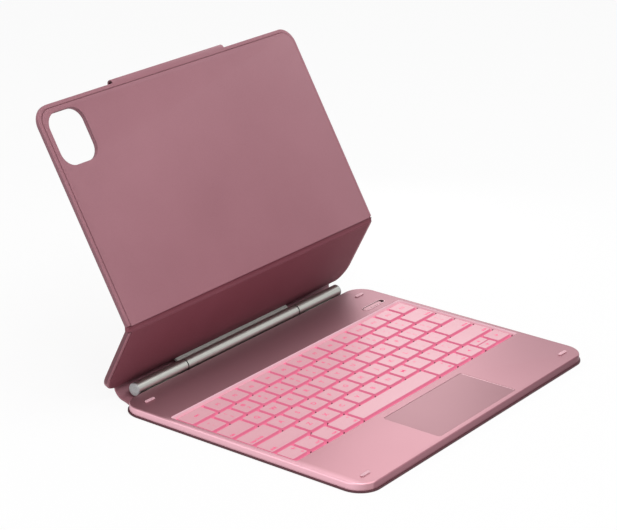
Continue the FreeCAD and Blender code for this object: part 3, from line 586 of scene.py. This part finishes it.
# Skins and linings; each panel is modelled flat, from the axis that it turns on, and then stood up
baseWrap = {"corner": 15.0, "segments": 14, "round": 0.4, "underside": -0.7}


def makeSkin():
    low, high = inMillimetres(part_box("base_skin"))
    skin = roundSlab("base_wrap", low, high, baseWrap["corner"], baseWrap["segments"])
    soften(skin, baseWrap["round"])
    dress(skin, "mauveLeather")
    # the sides and the top lip of the skin get painted shade
    paintFaces(skin, "skinPaintedShade", lambda face: face.normal.z > baseWrap["underside"])
    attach(skin, "base")
    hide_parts("base_skin")


cover = {
    "half": 126.5, "corner": 12.0, "lowerLean": 116.2, "upperLean": 59.2,
    "shell": 2.1, "lining": 1.3, "inset": 2.8, "groove": 0.12, "sink": 0.35, "overrun": 20, "headroom": 5,
    "rim": 0.75, "liningRim": 0.45, "shadeSlope": 0.6, "shadeMargin": 1,
}
lowerPanel = {"foot": -1.8, "top": 49.4, "back": -11.3, "padFoot": -1.5, "padTop": 50.0}
upperPanel = {"foot": 1.0, "top": 143.5, "back": 0.0, "padFoot": 0.4, "padTop": 140.7}
cutout = {"x": (-119.9, -88.9), "y": (103.1, 137.3), "z": (-5, 9), "corner": 9.5, "padSpare": 0.15}
lowerFrame = leaningFrame("cover_hinge", cover["lowerLean"])
upperFrame = leaningFrame("cover_fold", cover["upperLean"])


def cutEdge(end, endSign):
    # picks the cut edges of a panel's skin for painted shade, apart from those in the joint between its
    # rim and its lining
    def painted(face):
        inX = abs(face.center.x) / mm - (cover["half"] - cover["inset"])
        inY = (face.center.y / mm - end) * endSign + cover["inset"]
        margin = cover["shadeMargin"]
        joint = -margin < max(inX, inY) < cover["inset"] - margin
        return abs(face.normal.z) < cover["shadeSlope"] and not joint
    return painted


def freeEnd(y0, y1, endSign):
    # picks the two corners at a panel's free end
    return lambda spot: spot.y * endSign > (y0 + y1) / 2 * mm * endSign


def coverPanel(name, y0, y1, back, endSign):
    # the outer skin of a panel: its rim stands round a seat for the lining
    rimTop = back + cover["shell"] + cover["lining"] - cover["sink"]
    half = cover["half"]
    shell = roundSlab(name, (-half, y0, back), (half, y1, rimTop), cover["corner"],
                      corners=freeEnd(y0, y1, endSign))
    reach = cover["inset"] - cover["groove"]
    seatY = (y0 - cover["overrun"], y1 - reach) if endSign > 0 else (y0 + reach, y1 + cover["overrun"])
    seat = roundSlab("seat", (reach - half, seatY[0], back + cover["shell"]),
                     (half - reach, seatY[1], rimTop + cover["headroom"]), cover["corner"] - reach)
    carve(shell, seat)
    return shell


def coverLining(name, y0, y1, low, endSign):
    half = cover["half"] - cover["inset"]
    return roundSlab(name, (-half, y0, low), (half, y1, low + cover["lining"]),
                     cover["corner"] - cover["inset"], corners=freeEnd(y0, y1, endSign))


def makeLowerPanel():
    size = lowerPanel
    shell = coverPanel("lower_cover", size["foot"], size["top"], size["back"], -1)
    soften(shell, cover["rim"])
    dress(shell, "mauveLeather")
    # the cut edges of the skin get painted shade
    paintFaces(shell, "plumPaintedShade", cutEdge(size["foot"], -1))
    stand(shell, lowerFrame)
    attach(shell, "lower_panel")
    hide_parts("lower_shell")
    pad = coverLining("lower_lining", size["padFoot"], size["padTop"], size["back"] + cover["shell"], -1)
    soften(pad, cover["liningRim"])
    stand(pad, lowerFrame)
    # the lining is the mauve leather darkened as painted shade
    dress(pad, "shadedLining")
    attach(pad, "lower_panel")
    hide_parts("lower_pad")


def makeUpperPanel():
    # both layers are cut out round the camera, the lining a little wider
    size = upperPanel
    shell = coverPanel("upper_cover", size["foot"], size["top"], size["back"], 1)
    pad = coverLining("upper_lining", size["padFoot"], size["padTop"], size["back"] + cover["shell"], 1)
    hole = list(zip(cutout["x"], cutout["y"], cutout["z"]))
    for piece, spare in ((shell, 0.0), (pad, cutout["padSpare"])):
        corner = cutout["corner"] + spare
        carve(piece, roundSlab("camera_hole", *grown(*hole, spare, *cutout["z"]), corner))
    soften(shell, cover["rim"])
    soften(pad, cover["liningRim"])
    for piece, node in ((shell, "upper_shell"), (pad, "upper_pad")):
        dress(piece, "mauveLeather")
        # the cut edges get painted shade
        paintFaces(piece, "edgePaintedShade", cutEdge(size["top"], 1))
        stand(piece, upperFrame)
        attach(piece, "upper_panel")
        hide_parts(node)


fold = {"edge": 2.2, "brim": 0.25, "foot": 0.3, "sink": 0.1, "thick": 3.1, "dip": 0.5, "half": 126.3,
        "steps": 9, "round": 0.2}


def makeFold():
    # soft lining over the fold; it starts at the fold line and its face dips between the two panels
    lean = math.radians(cover["lowerLean"] - cover["upperLean"])
    seat = cover["shell"] - fold["sink"]
    edge, brim = fold["edge"], fold["brim"]
    upper = [(edge, fold["foot"]), (edge, seat), (brim, seat), (brim, fold["thick"])]
    along, across = math.cos(lean), math.sin(lean)
    lower = [(-along * y - across * z, along * z - across * y) for y, z in upper]
    first, last = Vector(upper[-1]), Vector(lower[-1])
    dip = Vector((math.sin(lean / 2), -math.cos(lean / 2))) * fold["dip"]
    shares = [step / fold["steps"] for step in range(1, fold["steps"])]
    face = [tuple(first.lerp(last, share) + dip * math.sin(math.pi * share)) for share in shares]
    strip = profileBar("fold_lining", upper + face + lower[::-1], fold["half"])
    stand(strip, upperFrame)
    soften(strip, fold["round"], segments=2)
    # the fold lining is the mauve leather darkened as painted shade
    dress(strip, "shadedLining")
    start = upperFrame @ Vector((0, lower[-1][0] * mm, lower[-1][1] * mm))
    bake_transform(strip)
    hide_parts("fold_strip")


spine = {"half": 115.0, "thick": 1.2, "start": 93.3, "drop": -1.9, "count": 16, "flatSteps": 5,
         "pinch": 3.5, "waist": 0.8, "bendAfter": 2, "round": 0.3, "smooth": 50}


def makeSpine():
    # the skin runs flat behind the base and turns up to the foot of the lower panel, pinched on the way
    foot = lowerFrame @ Vector((0, spine["drop"] * mm, lowerPanel["back"] * mm))
    lean = math.radians(cover["lowerLean"])
    footY, footZ = foot.y / mm, foot.z / mm
    radius = footZ / (1 - math.cos(lean))
    turnY = footY - radius * math.sin(lean)
    stop = cover["lowerLean"] - 90
    start, steps = spine["start"], spine["flatSteps"]
    flatRun = turnY - start
    under = [(start + flatRun * i / steps, 0.0) for i in range(steps)]
    outer = arc((turnY, radius), radius, -90, stop, spine["count"])
    inner = arc((turnY, radius), radius - spine["thick"], stop, -90, spine["count"])
    over = [(turnY - flatRun * i / steps, spine["thick"]) for i in range(1, steps + 1)]
    wrap = profileBar("spine_wrap", under + outer + inner + over, spine["half"])
    for vertex in wrap.data.vertices:
        y, z = vertex.co.y / mm, vertex.co.z / mm
        bend = radius * max(0, math.atan2(y - turnY, radius - z))
        share = (min(y, turnY) - start + bend) / (flatRun + radius * lean)
        waist = spine["pinch"] * math.sin(spine["waist"] * math.pi * share) * mm
        vertex.co.x -= math.copysign(waist, vertex.co.x)
    soften(wrap, spine["round"], segments=2, angle=spine["smooth"])
    dress(wrap, "mauveLeather")
    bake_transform(wrap)
    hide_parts("spine_skin")


flap = {"half": 55.0, "thick": 1.2, "gap": 0.4, "rise": 0.2, "lap": 0.2, "length": 32.0, "corner": 6.0,
        "count": 15, "rollRound": 0.25, "tailRound": 0.35, "shadeReach": 0.1, "squareEnd": 5,
        "smooth": 50}


def makeFlap():
    # a strip that rolls over the upper panel's edge, with painted shade inside the roll, and a tongue
    # behind the panel
    top = upperPanel["top"] + flap["rise"]
    centre = (cover["shell"] - flap["gap"]) / 2
    inner = (cover["shell"] + flap["gap"]) / 2
    outer = inner + flap["thick"]
    outside = arc((top, centre), outer, 90, -90, flap["count"])
    inside = arc((top, centre), inner, -90, 90, flap["count"])
    strip = upperPanel["top"] - cover["inset"] + flap["lap"]
    front = [(strip, centre + inner), (strip, centre + outer)]
    roll = profileBar("flap_roll", front + outside + inside, flap["half"])
    soften(roll, flap["rollRound"], segments=2, angle=flap["smooth"])
    dress(roll, "mauveLeather")
    hollow = Vector((0, top, centre)) * mm
    shadeRadius = (inner + flap["shadeReach"]) * mm
    # painted shade inside the roll
    paintFaces(roll, "skinPaintedShade", lambda face: (face.center - hollow).yz.length < shadeRadius)
    stand(roll, upperFrame)
    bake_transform(roll)
    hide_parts("flap_root")
    low = centre - outer
    tail = roundSlab("flap_tongue", (-flap["half"], top - flap["length"], low),
                     (flap["half"], top, low + flap["thick"]), flap["corner"],
                     corners=lambda spot: spot.y < (top - flap["squareEnd"]) * mm)
    soften(tail, flap["tailRound"], segments=2)
    stand(tail, upperFrame)
    dress(tail, "mauveLeather")
    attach(tail, "flap")
    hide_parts("flap_tail")


makeSkin()
makeLowerPanel()
makeUpperPanel()
makeFold()
makeSpine()
makeFlap()
print("skins and linings made")


# Deck and its fittings
cut = 1  # how far a cutter runs past the face that it goes through
tray = {"corner": 14.0, "cornerSteps": 24, "round": 1.2, "roundSteps": 6, "wall": 1.4, "wallSteps": 16,
        "deck": 1.0, "ring": 1.0, "wellCorner": 2.0, "wellSteps": 6, "padGap": 0.3, "padCorner": 2.3,
        "padSteps": 8, "fit": 0.15, "plugReach": 3, "plugCorner": 0.1, "plugSteps": 1, "smooth": 40}
switchSlot = {"length": 22.0, "width": 4.0, "steps": 10, "slack": 0.02}


def slotCentre():
    low, high = inMillimetres(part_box("slide_switch"))
    return (low[0] + high[0]) / 2, (low[1] + high[1]) / 2


def slotSlab(name, extra, bottom, top):
    # the round-ended shape of the power switch's slot, wider by so much all round
    x, y = slotCentre()
    half = (switchSlot["length"] / 2, switchSlot["width"] / 2)
    corners = (x - half[0], y - half[1]), (x + half[0], y + half[1])
    corner = half[1] + extra - switchSlot["slack"]
    return roundSlab(name, *grown(*corners, extra, bottom, top), corner, switchSlot["steps"])


def makeTray():
    # hollow below, with a walled well for the keys and openings for the trackpad, the switch and the plug
    low, high = inMillimetres((trayLow, trayHigh))
    well = inMillimetres((wellLow, wellHigh))
    pad = inMillimetres((padLow, padHigh))
    floor = sheetHigh[2] / mm
    wall, ring, fit = tray["wall"], tray["ring"], tray["fit"]
    under, over = high[2] - tray["deck"], high[2] + 2 * cut
    corner, wellCorner, wellSteps = tray["corner"], tray["wellCorner"], tray["wellSteps"]
    shell = roundSlab("deck_tray", low, high, corner, tray["cornerSteps"])
    bevelWhere(shell, lambda edge: min(vertex.co.z for vertex in edge.verts) > deckLevel - hair,
               tray["round"], tray["roundSteps"])
    inside = grown(low, high, -wall, low[2] - cut, under)
    hollow = roundSlab("hollow", *inside, corner - wall, tray["wallSteps"])
    carve(hollow, roundSlab("ring", *grown(*well, ring, floor, over), wellCorner + ring, wellSteps))
    carve(shell, hollow)
    carve(shell, roundSlab("well", *grown(*well, 0, floor - cut, over), wellCorner, wellSteps))
    opening = grown(*pad, tray["padGap"], under - cut, over)
    carve(shell, roundSlab("opening", *opening, tray["padCorner"], tray["padSteps"]))
    carve(shell, slotSlab("slot", 0, under - cut, over))
    a, b = inMillimetres(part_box("charge_socket"))
    plug = (a[0], a[1] - fit, a[2] - fit / 2), (high[0] + tray["plugReach"], b[1] + fit, b[2] + fit / 2)
    carve(shell, roundSlab("plug", *plug, tray["plugCorner"], tray["plugSteps"]))
    shadeSmooth(shell, tray["smooth"])
    dress(shell, "roseMetal")
    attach(shell, "base")
    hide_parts("base_tray")


bumper = {"length": 8.5, "width": 2.4, "height": 0.7, "round": 0.3, "end": 0.495, "steps": 8}


def makeBumpers():
    low, high = inMillimetres(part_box("bumper_pads"))
    level = deckLevel / mm
    half = (bumper["length"] / 2, bumper["width"] / 2)
    pads = []
    for x in (low[0] + half[0], high[0] - half[0]):
        for y in (low[1] + half[1], high[1] - half[1]):
            pads.append(roundSlab("pad", (x - half[0], y - half[1], level),
                                  (x + half[0], y + half[1], level + bumper["height"]),
                                  bumper["width"] * bumper["end"], bumper["steps"]))
    pads = joinAll("rest_pads", pads)
    soften(pads, bumper["round"])
    dress(pads, "roseRubber")
    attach(pads, "base")
    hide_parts("bumper_pads")


switchRim = {"wall": 0.55, "proud": 0.3, "deep": 0.3, "round": 0.1, "inward": -0.3}


def makeSwitchRim():
    # a thin bright bead round the slot of the power switch, with painted shade on its inner faces
    level = deckLevel / mm
    bottom, top = level - switchRim["deep"], level + switchRim["proud"]
    rim = slotSlab("switch_bead", switchRim["wall"], bottom, top)
    carve(rim, slotSlab("hole", 0, level - 2 * cut, level + 2 * cut))
    soften(rim, switchRim["round"], segments=2)
    dress(rim, "trimRose")
    x, y = slotCentre()
    straight = (switchSlot["length"] - switchSlot["width"]) / 2

    def inside(face):
        along = face.center.x / mm - x
        away = along - max(-straight, min(straight, along))
        return away * face.normal.x + (face.center.y / mm - y) * face.normal.y < switchRim["inward"]

    # painted shade on the inner faces of the bead
    paintFaces(rim, "plumPaintedShade", inside)
    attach(rim, "base")


padBead = {"gap": 0.29, "clear": 0.06, "depth": 0.5, "sink": 0.03, "corner": 2.0, "steps": 8}


def makePadBead():
    # a thin bead in the joint round the trackpad
    pad = inMillimetres((padLow, padHigh))
    outer, inner = padBead["gap"], padBead["clear"]
    top = deckLevel / mm - padBead["sink"]
    corner, steps = padBead["corner"], padBead["steps"]
    ring = grown(*pad, outer, top - padBead["depth"], top)
    hole = grown(*pad, inner, top - 3 * cut, top + 3 * cut)
    bead = roundSlab("trackpad_bead", *ring, corner + outer, steps)
    carve(bead, roundSlab("hole", *hole, corner + inner, steps))
    shadeSmooth(bead, tray["smooth"])
    dress(bead, "roseMetal")
    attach(bead, "base")


makeTray()
makeBumpers()
makeSwitchRim()
makePadBead()
print("deck fittings made")


# Keys: one entry for each run of caps, with its node, row, start and width in key units, half of the
# row (rear 1, front -1, both 0) and signs; a word after < stands at the left front of its cap, one
# before > at the right front, with what follows > behind it
keyGrid = {"units": 14.5, "rows": 6, "gap": 2.0, "halfGap": 0.6, "corner": 1.0, "cornerSteps": 5,
           "slope": 0.16, "edge": 0.2, "edgeSteps": 3, "flat": 0.99, "rimWidth": 0.6, "dish": 0.06,
           "trim": 0.35, "trimDeep": 0.6, "wallSlope": 0.4, "smooth": 50}
keyRows = [
    ("key_escape", 0, 0, 1.5, 0, ["esc"]),
    ("function_row_keys", 0, 1.5, 1, 0, ["F" + str(number) for number in range(1, 14)]),
    ("number_row_keys", 1, 0, 1, 0,
     ["~`", "!1", "@2", "#3", "$4", "%5", "^6", "&7", "*8", "(9", ")0", "_-", "+="]),
    ("key_backspace", 1, 13, 1.5, 0, ["back>"]),
    ("key_tab", 2, 0, 1.5, 0, ["<tab"]),
    ("upper_letter_keys", 2, 1.5, 1, 0, list("QWERTYUIOP") + ["{[", "}]", "|\\"]),
    ("key_caps", 3, 0, 1.75, 0, ["<caps lock"]),
    ("home_letter_keys", 3, 1.75, 1, 0, list("ASDFGHJKL") + [":;", "\"'"]),
    ("key_enter", 3, 12.75, 1.75, 0, ["enter>"]),
    ("key_shift_left", 4, 0, 2.25, 0, ["<shift"]),
    ("lower_letter_keys", 4, 2.25, 1, 0, list("ZXCVBNM") + ["<,", ">.", "?/"]),
    ("key_shift_right", 4, 12.25, 2.25, 0, ["shift>"]),
    ("modifier_keys", 5, 0, 1, 0, ["o>fn", "ctrl>^", "opt>-"]),
    ("modifier_keys", 5, 3, 1.25, 0, ["alt>+"]),
    ("key_space", 5, 4.25, 5, 0, [""]),
    ("modifier_keys", 5, 9.25, 1.25, 0, ["alt>+"]),
    ("modifier_keys", 5, 10.5, 1, 0, ["opt>-"]),
    ("key_left", 5, 11.5, 1, 0, ["left"]),
    ("key_up", 5, 12.5, 1, 1, ["up"]),
    ("key_down", 5, 12.5, 1, -1, ["down"]),
    ("key_right", 5, 13.5, 1, 0, ["right"]),
]
capLow, capHigh = inMillimetres(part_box("key_escape"))
gridLeft = capLow[0] - keyGrid["gap"] / 2
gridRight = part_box("key_right")[1][0] / mm + keyGrid["gap"] / 2
gridRear = capHigh[1] + keyGrid["gap"] / 2
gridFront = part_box("key_space")[0][1] / mm - keyGrid["gap"] / 2
pitchAcross = (gridRight - gridLeft) / keyGrid["units"]
pitchDeep = (gridRear - gridFront) / keyGrid["rows"]
capFoot, capTop = capLow[2], capHigh[2]
capShapes = {}
glyphShapes = {}


def capShape(wide, deep):
    # a low cap with sloped sides, a softened rim and a slightly hollow top
    if (wide, deep) in capShapes:
        return capShapes[wide, deep]
    low, high = (-wide / 2, -deep / 2, capFoot), (wide / 2, deep / 2, capTop)
    cap = roundSlab("cap", low, high, keyGrid["corner"], keyGrid["cornerSteps"])
    top = capTop * mm - hair
    editing(cap, lambda face: face.calc_center_median().z > top, "FACE")
    shrink = 2 * keyGrid["slope"]
    bpy.ops.transform.resize(value=(1 - shrink / wide, 1 - shrink / deep, 1))
    bpy.ops.mesh.bevel(offset=keyGrid["edge"] * mm, segments=keyGrid["edgeSteps"], affect="EDGES")
    doneEditing()
    flat = keyGrid["flat"]
    editing(cap, lambda face: face.normal.z > flat and face.calc_center_median().z > top, "FACE")
    bpy.ops.mesh.inset(thickness=keyGrid["rimWidth"] * mm, depth=-keyGrid["dish"] * mm)
    doneEditing()
    shadeSmooth(cap, keyGrid["smooth"])
    capShapes[wide, deep] = cap
    return cap


legend = {"letter": 4.8, "pair": 3.4, "word": 3.3, "small": 3.2, "thick": 0.03, "bold": 0.09,
          "arrow": 1.7, "arrowRound": 0.25, "margin": 1.4, "front": -0.3, "rear": 0.2, "pairSpread": 0.2}
arrowTurns = {"left": 90, "up": 0, "down": 180, "right": 270}


def glyphShape(text, size):
    # flat lettering of the plainest kind, made once for each sign
    if (text, size) in glyphShapes:
        return glyphShapes[text, size]
    bpy.ops.object.select_all(action="DESELECT")
    bpy.ops.object.text_add()
    sign = bpy.context.active_object
    sign.data.body = text
    sign.data.size = size * mm
    sign.data.align_x = "CENTER"
    sign.data.align_y = "CENTER"
    sign.data.resolution_u = 2
    sign.data.extrude = legend["thick"] / 2 * mm
    sign.data.offset = legend["bold"] * mm
    bpy.ops.object.convert(target="MESH")
    glyphShapes[text, size] = startPiece("sign", bpy.context.active_object)
    return glyphShapes[text, size]


def arrowShape(turn):
    if ("arrow", turn) in glyphShapes:
        return glyphShapes["arrow", turn]
    arrow = newPrimitive("sign", bpy.ops.mesh.primitive_cylinder_add, vertices=3,
                         radius=legend["arrow"] * mm, depth=legend["thick"] * mm,
                         rotation=(0, 0, math.radians(turn)))
    bevelWhere(arrow, upright, legend["arrowRound"], segments=3)
    glyphShapes["arrow", turn] = arrow
    return arrow


def wordAt(text, x, y, side, level):
    # a small word that starts or ends at x
    word = glyphShape(text, legend["small"])
    return copyAt(word, (x + side * (legend["margin"] + word.dimensions.x / 2 / mm), y, level))


def signsFor(text, x, y, wide, deep, level):
    # the lettering of one cap: a letter in the middle, a pair one behind the other, or words at a side
    if text in arrowTurns:
        return [copyAt(arrowShape(arrowTurns[text]), (x, y, level))]
    if len(text) == 1:
        return [copyAt(glyphShape(text, legend["letter"]), (x, y, level))]
    if len(text) > 2 and text[0] == "<":
        return [wordAt(text[1:], x - wide / 2, y + deep * legend["front"], 1, level)]
    if len(text) > 2 and ">" in text:
        words = zip(text.split(">"), (legend["front"], legend["rear"]))
        return [wordAt(word, x + wide / 2, y + deep * share, -1, level) for word, share in words if word]
    if len(text) == 2 and not text.isalnum():
        spread = deep * legend["pairSpread"]
        return [copyAt(glyphShape(sign, legend["pair"]), (x, y + shift, level))
                for sign, shift in zip(text, (spread, -spread))]
    if text:
        return [copyAt(glyphShape(text, legend["word"]), (x, y, level))]
    return []


gapShadowPost = {"radius": 0.45, "sink": 0.5, "sides": 10, "round": 0.15, "inset": 0.6}


def postShape():
    # a low dark post where four caps meet, standing for the shadow at the crossing of the gaps
    level = sheetHigh[2]
    height = (capTop - gapShadowPost["sink"]) * mm - level
    post = newPrimitive("post", bpy.ops.mesh.primitive_cylinder_add, vertices=gapShadowPost["sides"],
                        radius=gapShadowPost["radius"] * mm, depth=height, location=(0, 0, level + height / 2))
    bevelWhere(post, facesUp, gapShadowPost["round"], segments=2, mode="FACE")
    return post


dome = {"foot": 2.4, "crown": 1.4, "small": 0.7, "sides": 16, "round": 0.2, "keep": 0.1}


def domeShape(scale):
    # the rubber dome under a cap
    low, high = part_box("key_domes")
    shape = newPrimitive("dome", bpy.ops.mesh.primitive_cone_add, vertices=dome["sides"],
                         radius1=dome["foot"] * scale * mm, radius2=dome["crown"] * scale * mm,
                         depth=high[2] - low[2], location=(0, 0, (low[2] + high[2]) / 2))
    bevelWhere(shape, facesUp, dome["round"], segments=2, mode="FACE")
    return shape


def seatKeys(node, caps, domes, signs):
    # the caps of one node ride on their own body, and their domes stay on the base
    body = [name for name, members in bodies.items() if node in members][0]
    cap = joinAll(node + "_caps", caps)
    dress(cap, "rosePlastic")
    # the side walls of the caps carry a painted glow
    paintFaces(cap, "capSidePaintedGlow", lambda face: abs(face.normal.z) < keyGrid["wallSlope"])
    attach(cap, body)
    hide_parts(node)
    rubber = joinAll(node + "_domes", domes)
    dress(rubber, "litSheet")
    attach(rubber, "base")
    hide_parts("key_domes")
    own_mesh(rubber)
    if signs:
        sign = joinAll(node + "_signs", signs)
        dress(sign, "legendInk")
        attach(sign, body)


def makeKeys():
    caps, signs, domes, posts = {}, {}, {}, []
    post, wholeDome, halfDome = postShape(), domeShape(1.0), domeShape(dome["small"])
    for node, row, start, unit, half, texts in keyRows:
        wide = unit * pitchAcross - keyGrid["gap"] - keyGrid["trim"]
        deep = pitchDeep - keyGrid["gap"] - (0 if half else keyGrid["trimDeep"])
        y = gridRear - (row + 0.5) * pitchDeep
        if half:
            deep = (deep - keyGrid["halfGap"]) / 2
            y += half * (deep + keyGrid["halfGap"]) / 2
        cap = capShape(round(wide, 4), round(deep, 4))
        for place, text in enumerate(texts):
            x = gridLeft + (start + unit / 2 + place * unit) * pitchAcross
            caps.setdefault(node, []).append(copyAt(cap, (x, y, 0)))
            if not half:
                edge = min(x + unit / 2 * pitchAcross, gridRight - gapShadowPost["inset"])
                posts.append(copyAt(post, (edge, y - pitchDeep / 2, 0)))
            domes.setdefault(node, []).append(copyAt(halfDome if half else wholeDome, (x, y, 0)))
            signs.setdefault(node, []).extend(signsFor(text, x, y, wide, deep, capTop - keyGrid["dish"]))
    for node in caps:
        seatKeys(node, caps[node], domes[node], signs[node])
    for shape in [post, wholeDome, halfDome, *capShapes.values(), *glyphShapes.values()]:
        bpy.data.objects.remove(shape)
    # the posts stand for the shadow where the gaps cross
    posts = joinAll("gap_shadow_posts", posts)
    dress(posts, "shadowPostPlum")
    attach(posts, "base")


makeKeys()
print("keys made")


# Camera, floor and light
photoCamera = {"target": (135.469, 143.05, 5.8), "azimuth": -53.3895, "elevation": 21.0477,
               "roll": 0.71298, "distance": 1513.429, "lens": 122.897, "sensor": 36}


def makeCamera():
    turn, rise = math.radians(photoCamera["azimuth"]), math.radians(photoCamera["elevation"])
    back = Vector((math.sin(turn) * math.cos(rise), -math.cos(turn) * math.cos(rise), math.sin(rise)))
    right = (-back).cross(Vector((0, 0, 1))).normalized()
    up = right.cross(-back)
    tilt = math.radians(photoCamera["roll"])
    side = right * math.cos(tilt) + up * math.sin(tilt)
    top = up * math.cos(tilt) - right * math.sin(tilt)
    spot = (Vector(photoCamera["target"]) + back * photoCamera["distance"]) * mm
    data = bpy.data.cameras.new("photoCamera")
    data.lens = photoCamera["lens"]
    data.sensor_width = photoCamera["sensor"]
    data.sensor_fit = "HORIZONTAL"
    camera = bpy.data.objects.new("photoCamera", data)
    camera.matrix_world = Matrix((
        (side.x, top.x, back.x, spot.x),
        (side.y, top.y, back.y, spot.y),
        (side.z, top.z, back.z, spot.z),
        (0, 0, 0, 1),
    ))
    bpy.context.collection.objects.link(camera)
    bpy.context.scene.camera = camera


studio = {"floor": 6.0, "ambient": 0.38, "floorGlow": 0.9, "floorTones": (0.9, 0.92), "speck": 3.0,
          "roughness": 0.9, "gloss": 0.1}
lamps = {
    "overhead": {"spot": (0.15, -0.35, 1.3), "aim": (0, 0.03, 0.03), "power": 10.5, "size": 1.3},
    "sheen": {"spot": (0.285, 0.198, 0.185), "aim": (-0.09, -0.08, 0), "power": 0.24, "size": 0.2},
    "front": {"spot": (-0.6, -0.6, 1.1), "aim": (0, 0.05, 0.03), "power": 3.6, "size": 0.4},
    "side": {"spot": (-1.1, 0.3, 0.3), "aim": (0, 0, 0.02), "power": 3.0, "size": 0.6},
}


def showPale(finish, shown, share):
    # shown to the camera and in mirrors and glass; the main shader still lights the object
    mask = finish.add("ShaderNodeLightPath", out="Is Camera Ray")
    rays = mask.socket.node.outputs
    for ray in ("Is Glossy Ray", "Is Transmission Ray"):
        mask = mask.most(Wire(finish, rays[ray]))
    plain = Wire(finish, finish.shader.outputs[0])
    mixed = finish.add("ShaderNodeMixShader", inputs={0: mask * share, 1: plain, 2: shown})
    finish.plug(finish.output.inputs["Surface"], mixed)


def makeFloor():
    floor = newPrimitive("studio_floor", bpy.ops.mesh.primitive_plane_add, size=studio["floor"])
    pale = newFinish("paleFloor")
    speck = pale.noise(pale.place(), studio["speck"])
    tones = [(tone, tone, tone, 1) for tone in studio["floorTones"]]
    pale.set(Base_Color=pale.blendColour(speck, *tones), Roughness=studio["roughness"])
    pale.set(Specular_IOR_Level=studio["gloss"])
    showPale(pale, pale.add("ShaderNodeEmission"), studio["floorGlow"])
    floor.data.materials.append(pale.owner)


def makeLight():
    world = bpy.data.worlds.new("studio")
    bpy.context.scene.world = world
    ambient = Finish(world, "Background", "World Output")
    white = (1, 1, 1, 1)
    ambient.set(Color=white, Strength=studio["ambient"])
    showPale(ambient, ambient.add("ShaderNodeBackground", inputs={"Color": white, "Strength": 1.0}), 1.0)
    for name, lamp in lamps.items():
        data = bpy.data.lights.new(name, "AREA")
        data.energy = lamp["power"]
        data.size = lamp["size"]
        light = bpy.data.objects.new(name, data)
        light.location = lamp["spot"]
        aim = Vector(lamp["aim"]) - Vector(lamp["spot"])
        light.rotation_euler = aim.to_track_quat("-Z", "Y").to_euler()
        light.visible_camera = False
        bpy.context.collection.objects.link(light)


makeCamera()
makeFloor()
makeLight()
bpy.context.scene.view_settings.view_transform = "Standard"
print("studio made")
